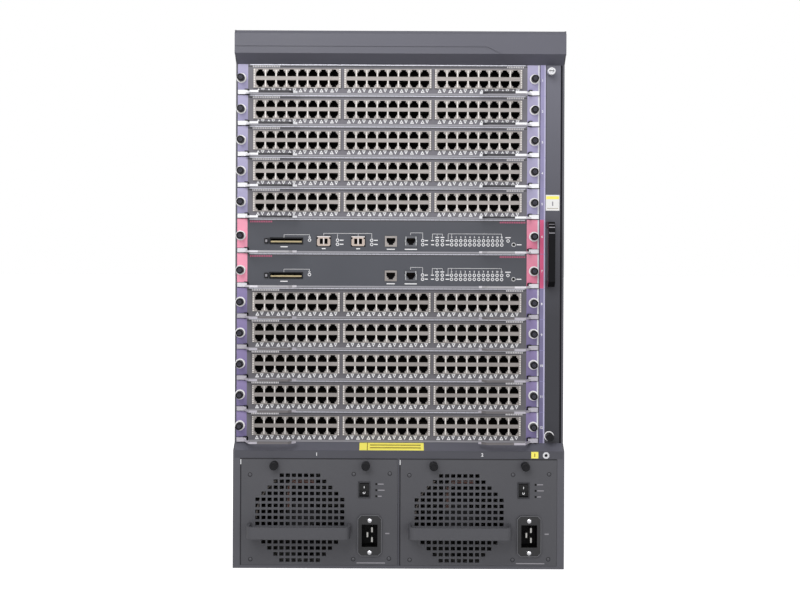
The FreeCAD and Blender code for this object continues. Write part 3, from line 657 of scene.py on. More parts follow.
# pale: a painted highlight for the rim of the inlet
psuEdgeHighlight = paint("psuEdgeHighlight", (124, 124, 130), roughness=0.4)
dullContact = metal("dullContact", (58, 48, 34), roughness=0.5)


def setFinish(node, material):
    piece = nodes[node]
    if not piece.material_slots:
        piece.data.materials.append(material)
    for slot in piece.material_slots:
        slot.material = material


# Cards: each place is measured from the card's left end, its face and its bottom

card = {
    "leftZone": 13.6,      # coloured ends of a faceplate
    "rightZone": 16.2,
    # rightEdge is the width of a painted highlight along a faceplate's right edge
    "rightEdge": 2.0,
    "knobInsets": (4.9, 6.8),
    "knobHeight": 21.7,
    "mpuKnobHeight": 22.8,
    "boardLow": 7.25,
    "mpuBoardLow": 6.6,
    "gasket": (5.7, 0.7, 1.2),
    "gasketPitch": 6.0,
    "pivotInset": 12.0,
    "pivotAhead": 2.6,
    "pivotRadius": 1.9,
    "pivotHeads": ((-0.5, 0.3), (6.1, 7.4)),
    "pivotTab": (5.2, (6.7, 7.2)),
    "triangleHeight": 6.0,
    "triangleSize": (5.3, 5.4),
    "triangleHollow": 0.38,
    "triangleShifts": (-2.6, 3.4),
    "nameBars": ((18.4, 57.4), (357.0, 380.0)),
    "nameBarDrop": 2.9,
    # foot is painted light along the bottom of a faceplate; its lower copy and the lower copy of the
    # coloured ends are painted shade for the lower half of the rack
    "foot": (150, 149, 156),
    "shadedLowerFoot": (137, 135, 140),
    "zone": ((180, 175, 206), (156, 150, 190)),      # top and bottom of the coloured ends, painted lighter at the top as painted light
    "shadedLowerZone": ((147, 133, 179), (107, 98, 141)),
}
gang = {
    "starts": (20.85, 141.15, 261.45),
    "width": 115.9,
    "low": 8.95,
    "high": 34.45,
    "front": -2.02,
    "back": -1.02,
    "columns": 8,
    "pitch": 13.97,
    "firstColumn": 9.055,
    "bar": 5.0,
    "insert": (11.6, 23.4),
    "insertShare": 0.97,      # width of an insert's mouth to that of the shield's
    "rib": (1.2, 0.3, 8.4),
    "spring": (1.7, 0.7, 1.3),
    "springY": -2.2,
    "springInset": 1.2,
    "springs": 11,
    "springPitch": 2.3,
    "pinDepth": 7.0,
    "pinRise": 1.1,
}
gang["middle"] = (gang["low"] + gang["high"]) / 2
contact = {"size": (0.4, 0.3), "count": 8, "pitch": 1.02}


def portOutline(x, z, up):
    # An eight-way jack's mouth: a wide part and two steps for the latch
    steps = [(-5.8, 0), (5.8, 0), (5.8, 4.9), (4.7, 4.9), (4.7, 6.9), (3.0, 6.9), (3.0, 9.2),
             (-3.0, 9.2), (-3.0, 6.9), (-4.7, 6.9), (-4.7, 4.9), (-5.8, 4.9)]
    return [(x + u, z + v * up) for u, v in steps]


def portPlaces():
    # The middle of each jack's wide edge, with 1 for the upper row and -1 for the lower
    places = []
    for start in gang["starts"]:
        for n in range(gang["columns"]):
            x = start + gang["firstColumn"] + n * gang["pitch"]
            places += [(x, gang["middle"] + side * gang["bar"] / 2, side) for side in (1, -1)]
    return places


def ribPlaces():
    # Between each two neighbouring columns of a gang
    ribs = []
    for i, (x, z, side) in enumerate(portPlaces()):
        if i // 2 % gang["columns"] != gang["columns"] - 1:
            ribs.append((x + gang["pitch"] / 2, gang["front"], z + side * gang["rib"][2] / 2 + side * 0.2))
    return ribs


def jackShields():
    shape = newShape()
    for start in gang["starts"]:
        end = start + gang["width"]
        holes = [portOutline(x, z, up) for x, z, up in portPlaces() if start < x < end]
        outer = rectOutline((start, end), (gang["low"], gang["high"]))
        addPlate(shape, outer, holes, (gang["front"], gang["back"]))
    return shape


def jackInserts():
    shape = newShape()
    for x in sorted({place[0] for place in portPlaces()}):
        outer = rectOutline(about(x, gang["insert"][0]), about(gang["middle"], gang["insert"][1]))
        holes = [portOutline(x, gang["middle"] + side * gang["bar"] / 2, side) for side in (1, -1)]
        holes = [[(x + (u - x) * gang["insertShare"], v) for u, v in hole] for hole in holes]
        addPlate(shape, outer, holes, (-1.0, 9.0))
    return shape


knob = {
    "radius": 4.75,
    "reach": 13.2,
    "knurl": (0.16, 3.6),
    "capFront": -13.5,
    "capRadius": 2.75,
    "capRing": (0.9, 1.55),
}


def knobShape(x, z, radius=knob["radius"], reach=knob["reach"]):
    shape = newShape()
    front = -reach - 0.7
    profile = [(front + 0.45, 0), (front + 0.45, radius * 0.5), (front, radius * 0.58),
               (front, radius * 0.84), (-reach, radius), (-reach * 0.4, radius),
               (-reach * 0.36, radius * 0.99), (-0.2, radius * 0.99), (-0.2, 0)]
    addLathe(shape, x, z, profile, sides=40, knurl=knob["knurl"])
    return shape


def capShape(x, z):
    # The recess of a knob's head, with a dark ring in it
    plate, ring = newShape(), newShape()
    front, radius, (inner, outer) = knob["capFront"], knob["capRadius"], knob["capRing"]
    recess = [(front - 0.06, 0), (front - 0.06, radius), (front + 0.1, radius), (front + 0.1, 0)]
    addLathe(plate, x, z, recess)
    profile = [(front - 0.12, inner), (front - 0.12, outer), (front, outer), (front, inner)]
    addLathe(ring, x, z, profile, sides=20, closed=True)
    return plate, ring


def collarShape(x, z, inner=4.95, outer=6.6, proud=3.6):
    shape = newShape()
    profile = [(-proud, inner), (-proud, outer - 0.35), (-proud + 0.35, outer), (-0.05, outer),
               (-0.05, inner)]
    addLathe(shape, x, z, profile, sides=32, closed=True)
    return shape


def pivotPins():
    # The rivets on which the two levers of a card turn, and the tabs that hold them
    shape = newShape()
    ahead, radius = card["pivotAhead"], card["pivotRadius"]
    width, tabZ = card["pivotTab"]
    for x in (card["pivotInset"], cardWidth - card["pivotInset"]):
        for span in card["pivotHeads"]:
            addTube(shape, [[(x + u, v - ahead, z) for u, v in circle(radius, 14)] for z in span])
        addBox(shape, about(x, width), (-ahead - radius, -0.02), tabZ)
    return shape


def trianglePoints(shift):
    columns = sorted({place[0] for place in portPlaces()})
    return [(x + shift, -0.08, card["triangleHeight"]) for x in columns]


def triangleShape(side):
    shape = newShape()
    w, h = card["triangleSize"]
    outer = [(-w / 2, -h / 2 * side), (w / 2, -h / 2 * side), (0, h / 2 * side)]
    share, centre = card["triangleHollow"], -h / 6 * side
    inner = [(x * share, (z - centre) * share + centre) for x, z in outer]
    addPlate(shape, outer, [inner], (-0.12, 0.05))
    return shape


def cardKnobs(height):
    places = (card["knobInsets"][0], cardWidth - card["knobInsets"][1])
    knobs = mergeShapes(*(knobShape(x, height) for x in places))
    collars = mergeShapes(*(collarShape(x, height) for x in places))
    caps, rings = zip(*(capShape(x, height) for x in places))
    return [
        ("knobs", shapeMesh(knobs, blackKnob, 30)),
        ("knob_caps", shapeMesh(mergeShapes(*caps), knobCap, 30)),
        ("knob_rings", shapeMesh(mergeShapes(*rings), blackKnob, 30)),
        ("collars", shapeMesh(collars, collarMetal, 30)),
    ]


def topGasket(height):
    # Spring fingers along the top edge of a faceplate
    span = (card["leftZone"], cardWidth - card["rightZone"])
    count = int((span[1] - span[0]) // card["gasketPitch"])
    finger = card["gasket"]
    point = (sum(span) / 2, -finger[1] / 2, height - finger[2] / 2 - 0.1)
    return boxRows([point], finger, gasketMetal, count, (card["gasketPitch"], 0, 0))


def contactRows(pins, length):
    # Eight contacts side by side about each place
    w, h = contact["size"]
    return boxRows(pins, (w, length, h), dullContact, contact["count"], (contact["pitch"], 0, 0))


def nameBars(places, height, material):
    # A plain broken bar at each end of a faceplate
    bar, step = (1.6, 0.14, 2.3), 2.3
    meshes = []
    for span in places:
        count = int((span[1] - span[0]) // step)
        meshes.append(boxRows([(sum(span) / 2, -0.04, height)], bar, material, count, (step, 0, 0)))
    return joinMeshes(meshes, material)


def lineCardParts():
    # Every part that all the line cards share, as (name, mesh)
    ups, downs = (trianglePoints(shift) for shift in card["triangleShifts"])
    pins = [(x, gang["pinDepth"], z + side * gang["pinRise"]) for x, z, side in portPlaces()]
    insets = (gang["springInset"], gang["width"] - gang["springInset"])
    springs = [(start + dx, gang["springY"], gang["middle"]) for start in gang["starts"] for dx in insets]
    springStep = (0, 0, gang["springPitch"])
    height = cardHigh["line_card_01"] - cardLow["line_card_01"]
    return [
        ("jack_shields", shapeMesh(jackShields(), shieldMetal)),
        ("jack_inserts", shapeMesh(jackInserts(), blackInsert)),
        ("jack_contacts", contactRows(pins, 7.0)),
        ("shield_ribs", boxRows(ribPlaces(), gang["rib"], ribMetal)),
        ("shield_springs", boxRows(springs, gang["spring"], ribMetal, gang["springs"], springStep)),
        ("gasket", topGasket(height)),
        ("name_bars", nameBars(card["nameBars"], height - card["nameBarDrop"], printGrey)),
        ("lamps_up", partsOnPoints(triangleShape(1), ups, printWhite)),
        ("lamps_down", partsOnPoints(triangleShape(-1), downs, printWhite)),
        ("pivot_pins", shapeMesh(pivotPins(), blackKnob, 30)),
    ] + cardKnobs(card["knobHeight"])


faceSpan = (cardFace - 0.6, cardFace + 1.65)      # a faceplate and what is proud of it


def facePatches(low, high, zoneColours, foot):
    # Coloured ends of a faceplate, and painted light on it: a painted highlight along the foot, painted
    # shade in a line under the gasket, and painted highlights on the top edge and the right edge
    left = (cardLeft - 1, cardLeft + card["leftZone"])
    right = (cardRight - card["rightZone"], cardRight - card["rightEdge"])
    edge = (cardRight - card["rightEdge"], cardRight + 1)
    inner, tall = (left[1], right[0]), (low - 1, high + 1)
    return [
        # painted highlight along the foot
        (inner, faceSpan, (low - 1, low + 2.3), foot, 0.4, 0.0),
        # painted shade in a line under the gasket
        (inner, faceSpan, (high - 3.5, high - 1.8), (66, 65, 70), 0.5, 0.0),
        # painted highlight on the top edge
        ((left[0], right[1]), faceSpan, (high - 0.01, high + 1), (196, 196, 206), 0.4, 0.0),
        # coloured ends; an upper and a lower colour paint them lighter at the top
        (left, faceSpan, tall, zoneColours[0], 0.45, 0.0),
        (right, faceSpan, tall, zoneColours[-1], 0.45, 0.0),
        # painted highlight on the right edge
        (edge, faceSpan, tall, (222, 222, 230), 0.35, 0.0),
    ]


def boardPatches(low, boardLow):
    wide = (cardLeft - 2, cardRight + 2)
    top = low + boardLow + 1.7
    board = (wide, (cardFace + 1.6, rearFace), (low + boardLow - 0.05, top), (28, 74, 44), 0.35, 0.0)
    plug = (wide, (cardFace + 250, rearFace), (top, low + 34), (40, 40, 44), 0.5, 0.0)
    return [board, plug]


def lineCardFinish(name, low, high):
    # Painted shade: the lower half of the rack gets darker copies of the faceplate paint, the foot and the
    # coloured ends
    upper = low > cardHigh["mpu_card_1"]
    base = {"colour": (110, 108, 116) if upper else (97, 95, 101), "roughness": 0.45}
    blocks = []
    for start in gang["starts"]:
        x = (cardLeft + start - 0.1, cardLeft + start + gang["width"] + 0.1)
        z = (low + gang["low"] - 0.05, low + gang["high"] + 0.05)
        blocks.append((x, (cardFace - 3, cardFace + 1.66), z, (160, 153, 148), 0.45, 0.4))
    inside = (low + gang["low"] + 0.4, low + gang["high"] - 0.4)
    blocks.append(((cardLeft, cardRight), (cardFace + 1.66, cardFace + 30), inside, (27, 26, 26), 0.7, 1.0))
    zone = card["zone"] if upper else card["shadedLowerZone"]
    patches = facePatches(low, high, [zone], card["foot"] if upper else card["shadedLowerFoot"])
    return patched(name + "Finish", base, patches + boardPatches(low, card["boardLow"]) + blocks)


def dressLineCards():
    parts = lineCardParts()
    for name in lineCards:
        corner = (cardLeft, cardFace, cardLow[name])
        for label, mesh in parts:
            placeMesh(f"{name}_{label}", mesh, name, "line_card_metal", corner, copy=True)
        setFinish(name, lineCardFinish(name, cardLow[name], cardHigh[name]))
    for label, mesh in parts:
        bpy.data.meshes.remove(mesh)
    print("line cards dressed")


# Management cards

mpu = {
    "row": 15.8,             # middle of the sockets
    "flashX": 65.2,
    "flashSlot": (44.4, 8.6),
    "moduleX": (114.9, 160.6),
    "moduleFace": (17.6, 13.0),
    "fibreHole": (4.2, 7.2),
    "fibrePitch": 6.25,
    "fibreDrop": 0.3,
    "fibreBar": (1.2, 8.4),
    "rim": (17.8, 5.9, 1.3),        # width, rise and height
    "notch": (8.1, 1.5, 3.9, 2.2),  # reach from the middle, width, rise and height
    "consoleX": 204.1,
    "networkX": 230.7,
    "socket": (16.0, 14.2),
    "latch": 8.8,
    "springs": ((4.6, 6.6), (0.6, 7.3), (-3.4, 6.9)),        # rise, and reach from the middle
    "springSize": (1.3, 3.6),
    "digits": (3.3, 21.5),          # size and height
    "lampRows": (17.0, 11.6),
    "lampColumns": [246.3, 265.5, 272.5],
    "moduleLamps": [133.2, 178.6],
    "loneLamps": [(96.1, 17.0), (359.6, 17.0)],
    "gridStart": 284.7,
    "gridPitch": 6.05,
    "gridColumns": 12,
    "resetInset": 33.6,
    "resetHeight": 12.0,
    "print": -0.12,          # front of the printing
    "nameBars": ((16.5, 47.0), (348.0, 383.0)),
    "face": (70, 72, 80),
    # left and right coloured ends, each an upper and a lower colour; the right end is painted darker
    # towards the bottom as painted shade
    "zones": [((244, 160, 184), (250, 158, 186)), ((240, 152, 177), (224, 118, 152))],
}
mpuGrid = [mpu["gridStart"] + n * mpu["gridPitch"] for n in range(mpu["gridColumns"])]

# Printed lines: a bracket is its height, its ends, and how far down a leg goes at each place;
# a bar is its span and its height
printing = {
    "line": 0.42,
    "bar": 1.3,
    "brackets": [
        (24.3, (62.0, 96.3), {62.2: 4.4, 96.1: 2.6}),
        (27.4, (230.0, 246.5), {230.2: 3.2, 246.3: 8.0}),
        (26.0, (258.9, 272.7), {259.1: 7.6, 265.5: 3.2, 272.5: 3.2}),
        (26.3, (279.9, 351.2), {280.1: 8.2, 284.7: 3.0, 351.0: 6.5}),
    ],
    "moduleBracket": (26.3, (114.7, 178.8), {114.9: 3.6, 133.2: 7.0, 160.6: 3.6, 178.6: 7.0}),
    "bars": [((198.6, 209.5), 5.3), ((222.5, 238.7), 5.3), ((57.5, 67.2), 8.0), ((263.0, 268.0), 21.3),
             ((270.0, 275.0), 21.3), ((356.0, 363.2), 21.3), ((371.0, 377.5), 12.0)],
    "lampBars": ((249.3, 253.3), (257.4, 261.4), (276.9, 281.6)),
}


def mpuLampPlaces(withModules):
    columns = mpu["lampColumns"] + mpuGrid + (mpu["moduleLamps"] if withModules else [])
    return [(x, z) for x in columns for z in mpu["lampRows"]] + mpu["loneLamps"]


def ringShape(inner, outer, sides=14):
    return turned([(-0.12, inner), (-0.12, outer), (0.05, outer), (0.05, inner)], sides, closed=True)


def lensShape(radius):
    return turned([(-0.09, 0), (-0.06, radius), (0.05, radius), (0.05, 0)], 14)


def addLine(shape, x, z):
    addBox(shape, x, (mpu["print"], 0.05), z)


def addBracket(shape, z, ends, drops):
    line = printing["line"]
    addLine(shape, ends, (z - line, z))
    for x, depth in drops.items():
        addLine(shape, about(x, line), (z - depth, z))


def mpuPrint(withModules):
    # Lines, brackets and plain bars printed on the faceplate
    shape = newShape()
    brackets, bars = list(printing["brackets"]), list(printing["bars"])
    bars += [(span, z) for span in printing["lampBars"] for z in mpu["lampRows"]]
    if withModules:
        brackets.append(printing["moduleBracket"])
        bars += [((x + 3.0, x + 8.0), z) for x in mpu["moduleLamps"] for z in mpu["lampRows"]]
        bars += [((x - 2.5, x + 2.5), 5.8) for x in mpu["moduleX"]]
    for bracket in brackets:
        addBracket(shape, *bracket)
    for x, z in bars:
        addLine(shape, x, about(z, printing["bar"]))
    return shape


def moduleFaces():
    # The mouths of the optical modules, each with two fibre holes
    shape = newShape()
    w, h = mpu["fibreHole"]
    z = about(mpu["row"] - mpu["fibreDrop"], h)
    for x in mpu["moduleX"]:
        holes = [rectOutline(about(x + side * mpu["fibrePitch"] / 2, w), z) for side in (-1, 1)]
        addPlate(shape, chamferedOutline(x, mpu["row"], mpu["moduleFace"], 1.6), holes, (-1.3, -0.42))
    return shape


def moduleRims():
    # A pale lip over each module's mouth, and the bar between its two holes
    shape = newShape()
    width, rise, height = mpu["rim"]
    barWidth, barHeight = mpu["fibreBar"]
    for x in mpu["moduleX"]:
        addBox(shape, about(x, width), (-1.6, -0.42), about(mpu["row"] + rise, height))
        barZ = about(mpu["row"] - mpu["fibreDrop"], barHeight)
        addBox(shape, about(x, barWidth), (-1.5, -1.25), barZ)
    return shape


def moduleNotches():
    # The corners under the lip, painted dark as painted shade
    shape = newShape()
    reach, width, rise, height = mpu["notch"]
    for x in mpu["moduleX"]:
        for side in (-1, 1):
            addBox(shape, about(x + side * reach, width), (-1.34, -0.5), about(mpu["row"] + rise, height))
    return shape


def socketFace(x):
    # The frame of a network socket, its latch notch at the bottom
    shape = newShape()
    w, h = mpu["socket"]
    hole = portOutline(x, mpu["row"] + mpu["latch"] / 2, -1)
    addPlate(shape, rectOutline(about(x, w), about(mpu["row"], h)), [hole], (-0.9, -0.42))
    return shape


def socketSprings(x):
    # Two wavy strips, one on each side of the socket
    shape = newShape()
    width, height = mpu["springSize"]
    for side in (-1, 1):
        for rise, reach in mpu["springs"]:
            addBox(shape, about(x + side * reach, width), (-1.3, -0.85), about(mpu["row"] + rise, height))
    return shape


def flashFrame():
    shape = newShape()
    x, (w, h) = mpu["flashX"], mpu["flashSlot"]
    hole = rectOutline(about(x, w - 3.2), about(mpu["row"], h - 2.6))
    addPlate(shape, rectOutline(about(x, w), about(mpu["row"], h)), [hole], (-1.0, -0.42))
    return shape


def mpuParts(withModules):
    lamps = [(x, 0, z) for x, z in mpuLampPlaces(withModules)]
    size, z = mpu["digits"]
    digits = [digitMesh(str(n), size, x, z, -0.06, printWhite, 0.1) for n, x in enumerate(mpuGrid)]
    height = cardHigh["mpu_card_1"] - cardLow["mpu_card_1"]
    gold = [(mpu["flashX"] - 0.2, 1.2, mpu["row"] - 0.9)]
    pins = [(x, 3.5, mpu["row"] + 2.6) for x in (mpu["consoleX"], mpu["networkX"])]
    reset = [(cardWidth - mpu["resetInset"], 0, mpu["resetHeight"])]
    parts = [
        ("lamp_rings", partsOnPoints(ringShape(1.3, 2.2), lamps, printWhite)),
        ("lamp_lenses", partsOnPoints(lensShape(1.3), lamps, lampDark)),
        ("small_ring", partsOnPoints(ringShape(0.7, 1.3), [(96.1, 0, 20.7)], printWhite)),
        ("reset_ring", partsOnPoints(ringShape(2.15, 2.75, 18), reset, printWhite)),
        ("print", shapeMesh(mpuPrint(withModules), printWhite)),
        ("pink_print", nameBars(mpu["nameBars"], 41.4, printPink)),
        ("lamp_digits", joinMeshes(digits, printWhite)),
        ("memory_slot", shapeMesh(flashFrame(), blackKnob)),
        ("memory_contacts", boxRows(gold, (0.62, 3.0, 2.1), goldContact, 53, (0.78, 0, 0))),
        ("console_socket", shapeMesh(socketFace(mpu["consoleX"]), shieldMetal)),
        ("network_socket", shapeMesh(socketFace(mpu["networkX"]), socketGrey)),
        ("socket_springs", shapeMesh(socketSprings(mpu["networkX"]), springSteel)),
        ("socket_contacts", contactRows(pins, 9.0)),
        ("gasket", topGasket(height)),
        ("pivot_pins", shapeMesh(pivotPins(), blackKnob, 30)),
    ]
    if withModules:
        parts.append(("module_faces", shapeMesh(moduleFaces(), moduleBeige)))
        parts.append(("module_rims", shapeMesh(moduleRims(), moduleRim)))
        parts.append(("module_notches", shapeMesh(moduleNotches(), blackInsert)))
    return parts + cardKnobs(card["mpuKnobHeight"])


def mpuFinish(name, low, high):
    base = {"colour": mpu["face"], "roughness": 0.42}
    # the faceplate carries the painted highlights and shade of facePatches
    patches = facePatches(low, high, mpu["zones"], card["foot"])
    x, z = (cardLeft + 40, cardLeft + 245), about(low + mpu["row"], 14.8)
    sockets = (x, (cardFace - 0.6, cardFace + 60), z, (34, 33, 34), 0.5, 1.0)
    face = (x, (cardFace - 0.02, cardFace + 1.6), z, mpu["face"], 0.42, 0.0)
    patches += [sockets, face] + boardPatches(low, card["mpuBoardLow"])
    return patched(name + "Finish", base, patches)


def buttonTop(name):
    # A paler pad on the front of the eject button
    middle = sum(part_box(name), Vector()) / 2 / mm
    front = frontOf(name, middle.x, middle.z)
    placeBox(name + "_pad", about(middle.x, 2.6), (front - 0.12, front + 0.05), about(middle.z, 3.4),
             printDim, name, "button_plastic")


def dressManagementCards():
    for name in mpuCards:
        low = cardLow[name]
        for label, mesh in mpuParts(name == "mpu_card_1"):
            placeMesh(f"{name}_{label}", mesh, name, "mpu_card_metal", (cardLeft, cardFace, low))
        setFinish(name, mpuFinish(name, low, cardHigh[name]))
        setFinish(name + "_eject_button", blackKnob)
        buttonTop(name + "_eject_button")
        setFinish(name + "_reset_button", blackKnob)
    print("management cards dressed")


# Ejector levers: painted reflection, a bright head, arm and tip and a dark run of the arm between them;
# each row of cards gets its own lit and shaded copy

lever = {
    "leftDarkReflection": (30.0, 75.0),
    "rightDarkReflection": (34.0, 76.5),
    "upper": ((248, 248, 252), (42, 41, 46)),        # head and tip, and the dark run: painted reflection
    "middle": ((226, 223, 230), (172, 170, 175)),
    "lower": ((184, 180, 190), (106, 102, 104)),
}


def finishLevers():
    rows = {"upper": lineCards[:5], "middle": mpuCards, "lower": lineCards[5:]}
    ends = {"left": (cardLeft, 1), "right": (cardRight, -1)}
    for side, (end, way) in ends.items():
        x = sorted(end + way * reach for reach in lever[side + "DarkReflection"])
        for row, cards in rows.items():
            bright, darkTone = lever[row]
            # painted reflection: the run of the arm is painted dark, the rest of the lever bright
            darkReflection = (x, (cardFace - 60, cardFace + 5), (0, 720), darkTone, 0.5, 0.0)
            base = {"colour": bright, "roughness": 0.32, "mottle": 0.08}
            finish = patched(f"{side}{row.title()}Lever", base, [darkReflection])
            for name in cards:
                setFinish(f"{name}_{side}_lever", finish)
    print("levers finished")


# Slot strip between the cards and the fan tray

strip = {
    "x": (stripLow.x - 0.1, stripHigh.x + 0.1),
    "y": (stripLow.y - 0.5, stripLow.y + 1.6),
    "pink": (cardLow["mpu_card_2"] - 0.3, cardHigh["mpu_card_1"] + 0.3),
    "line": (stripLow.x + 1.0, stripHigh.x - 0.2),
}


def dressSlotStrip():
    x, y = strip["x"], strip["y"]
    patches = [
        # lavender, painted darker towards the bottom as painted shade
        (x, y, (150, 670), ((158, 152, 192), (100, 94, 130)), 0.45, 0.0),
        (x, y, strip["pink"], (222, 90, 136), 0.45, 0.0),
        # painted highlight along the right edge
        ((stripHigh.x - 1.8, x[1]), y, (0, 720), (188, 184, 214), 0.4, 0.0),
        # painted shade in the gap along the left edge
        ((x[0], stripLow.x + 0.9), y, (0, 720), (70, 66, 86), 0.5, 0.0),
    ]
    setFinish("fan_bay_wall", patched("slotStripPaintAndShade", {"colour": (120, 120, 124)}, patches))
    digits, lines = [], newShape()
    for n, name in enumerate(allCards):
        z = (cardLow[name] + cardHigh[name]) / 2
        digits.append(digitMesh(str(n + 1), 4.2, stripLow.x + 3.7, z, stripLow.y - 0.06, printWhite, 0.12))
        if n:
            addBox(lines, strip["line"], (stripLow.y - 0.1, stripLow.y), about(cardHigh[name] + 0.3, 0.5))
    placeMesh("slot_digits", joinMeshes(digits, printWhite), "chassis", "chassis_paint")
    placeShape("slot_lines", lines, slotLavender, "chassis", "chassis_paint")
    print("slot strip dressed")


# Fan tray

tray = {
    "gripX": trayLow.x + 5.9,
    "knobInset": 9.0,
    "knobRadius": 5.15,
    "ring": (5.3, 6.5, 0.8),
    "slot": (7.0, 1.1),
    "sticker": ((trayLow.x + 0.3, trayLow.x + 18.5), (472.6, 493.5)),
    "band": (487.8, 491.7),
    "mark": (478.8, 484.6),
    "line": 475.6,
    "handleMarks": (453.8, 450.0, 442.5),
}


def trayKnob(label, z, material):
    shape = carryBack(knobShape(tray["gripX"], z, tray["knobRadius"]), cardFace)
    placeShape("tray_knob_" + label, shape, material, "fan_tray", "tray_metal", 30)


def traySticker():
    x, z = tray["sticker"]
    sheet, above = (cardFace - 0.12, cardFace), (cardFace - 0.18, cardFace - 0.1)
    layers = [
        ("_mark", about(sum(x) / 2, 1.6), above, tray["mark"], printDim),
        ("", x, sheet, z, stickerWhite),
        ("_band", (x[0] + 0.6, x[1] - 0.6), above, tray["band"], stickerYellow),
        ("_lines", (x[0] + 2.0, x[1] - 2.0), above, about(tray["line"], 0.5), stickerLine),
    ]
    for label, *place in layers:
        placeBox("tray_sticker" + label, *place, "fan_tray", "tray_metal")


def dressFanTray():
    face, gripX = cardFace, tray["gripX"]
    home = ("fan_tray", "tray_metal")
    wide, tall = (trayLow.x - 1, trayHigh.x + 1), (trayLow.z - 1, trayHigh.z + 1)
    patches = [
        (wide, (face - 40, face - 0.05), tall, (29, 29, 31), 0.45, 1.0),
        (wide, (face + 2.2, face + 400), tall, (150, 150, 148), 0.42, 0.5),
        # painted shade in the gap along the tray's left edge
        ((trayLow.x - 0.1, trayLow.x + 0.7), (face - 0.04, face + 2.1), tall, (64, 64, 70), 0.5, 0.0),
    ]
    # the tray's paint is painted darker towards the bottom: painted shade
    base = {"colour": (106, 106, 117), "roughness": 0.42, "shadeRamp": (330, 640, 0.26, 1.0), "gloss": 0.35}
    setFinish("fan_tray", patched("fanTrayPaintAndShade", base, patches))
    traySticker()
    marks = newShape()
    for z in tray["handleMarks"]:
        front = frontOf("fan_tray", gripX, z)
        addBox(marks, about(gripX, 7.6), (front - 0.12, front + 0.05), about(z, 1.1))
    placeShape("tray_handle_marks", marks, printDim, *home)
    top, bottom = trayHigh.z - tray["knobInset"], trayLow.z + tray["knobInset"]
    trayKnob("top", top, brightSteel)
    w, h = tray["slot"]
    slotY = (face - 13.95, face - 13.4)
    # the slot of the top knob is a black bar on its face: painted shade in the slot
    placeBox("tray_knob_slot", about(gripX, w), slotY, about(top, h), blackKnob, *home)
    trayKnob("bottom", bottom, blackKnob)
    ring = collarShape(gripX, bottom, *tray["ring"])
    placeShape("tray_knob_ring", carryBack(ring, face), collarMetal, *home, 30)
    for n in (1, 2, 3):
        setFinish(f"fan_tray_rotor_{n}", rotorPlastic)
    print("fan tray dressed")


# Power supplies: each place is measured from the panel's left or right edge and its bottom

psu = {
    "knobs": (44.7, 42.0),
    "knobDrop": 8.6,
    "knob": (5.4, 12.1),
    "rows": (7, 9, 11, 13, 15, 15, 15, 15, 15, 15, 15, 13, 11, 9, 7),
    "pitch": 7.97,
    "hole": (5.6, 4.8),
    "ventZ": 62.3,
    "ventPart": 50.0,
    "ventShade": (124, 116),
    "inlet": (36.5, 39.6),
    "inletSize": (31.3, 53.6),
    "inletFront": 3.1,
    "mouth": (20.8, 29.4),
    "blades": (8.4, 20.0),
    "screws": 21.0,
    "rocker": (43.9, 99.5),
    "rockerFrame": (20, 28),
    "rockerWell": (12.7, 18.2),
    "rockerMark": 3.6,
    "lampInset": 28.0,
    "lamps": ((107.0, 7.5), (99.0, 8.7), (91.0, 5.0)),       # height, and length of the bar beside it
    "rivets": ((12.8, 118.7), (149.3, 120.0), (196.7, 120.8), (13.6, 7.4), (149.0, 8.0), (196.0, 8.9)),
}
wires = {
    "sides": 7,
    "behind": 5.6,
    "turn": (75.5, 98.6),
    "foot": 71.0,
    "end": 98.0,
    "radius": 0.75,
    "bundle": (("red", wireRed, (9.6, 12.6)), ("white", wireWhite, (11.1, 14.1))),
    "lead": (78.5, 57.5, (124, 181), 1.1),        # middle, bend, angles and radius
}


def fromRight(low, high, place):
    return high.x - place[0], low.z + place[1]


def ventMiddle(low, high):
    return (low.x + high.x - psu["ventPart"]) / 2, low.z + psu["ventZ"]


def ventBars(low, high):
    x, z = ventMiddle(low, high)
    rows, pitch = psu["rows"], psu["pitch"]
    points = []
    for row, holes in enumerate(rows):
        rowZ = z + ((len(rows) - 1) / 2 - row) * pitch
        points += [(x + (n - (holes - 2) / 2) * pitch, psuFace + 1.0, rowZ) for n in range(holes - 1)]
    size = (pitch - psu["hole"][0], 1.98, psu["hole"][1] + 0.1)
    return boxRows(points, size, psuPaint)


def addRod(shape, start, end, radius):
    # A straight round wire
    start, end = Vector(start), Vector(end)
    turn = (end - start).to_track_quat("Z", "Y")
    ring = [turn @ Vector((u, v, 0)) for u, v in circle(radius, wires["sides"])]
    addTube(shape, [[place + corner for corner in ring] for place in (start, end)])


def addArcTube(shape, middle, bend, span, radius):
    # A wire bent along an arc in the plane of the panel
    rings, steps = [], 14
    for i in range(steps + 1):
        angle = math.radians(span[0] + (span[1] - span[0]) * i / steps)
        out = Vector((math.cos(angle), 0, math.sin(angle)))
        ends = circle(radius, wires["sides"])
        rings.append([Vector(middle) + out * (bend + u) + Vector((0, v, 0)) for u, v in ends])
    addTube(shape, rings)


def psuWires(name, low):
    # A bundle that hangs behind the grille and turns over to the fan, and a pale lead round the fan
    y, radius = psuFace + wires["behind"], wires["radius"]
    x, z = low.x + wires["turn"][0], low.z + wires["turn"][1]
    for colour, material, bends in wires["bundle"]:
        shape = newShape()
        for bend in bends:
            addArcTube(shape, (x, y, z), bend, (88, 180), radius)
            addRod(shape, (x - bend, y, z + 0.3), (x - bend, y, low.z + wires["foot"]), radius)
            addRod(shape, (x, y, z + bend), (low.x + wires["end"], y, z + bend), radius)
        if colour == "white":
            leadX, *lead = wires["lead"]
            addArcTube(shape, (low.x + leadX, y, low.z + psu["ventZ"]), *lead)
        placeShape(f"{name}_wires_{colour}", shape, material, name, "psu_metal", 60)


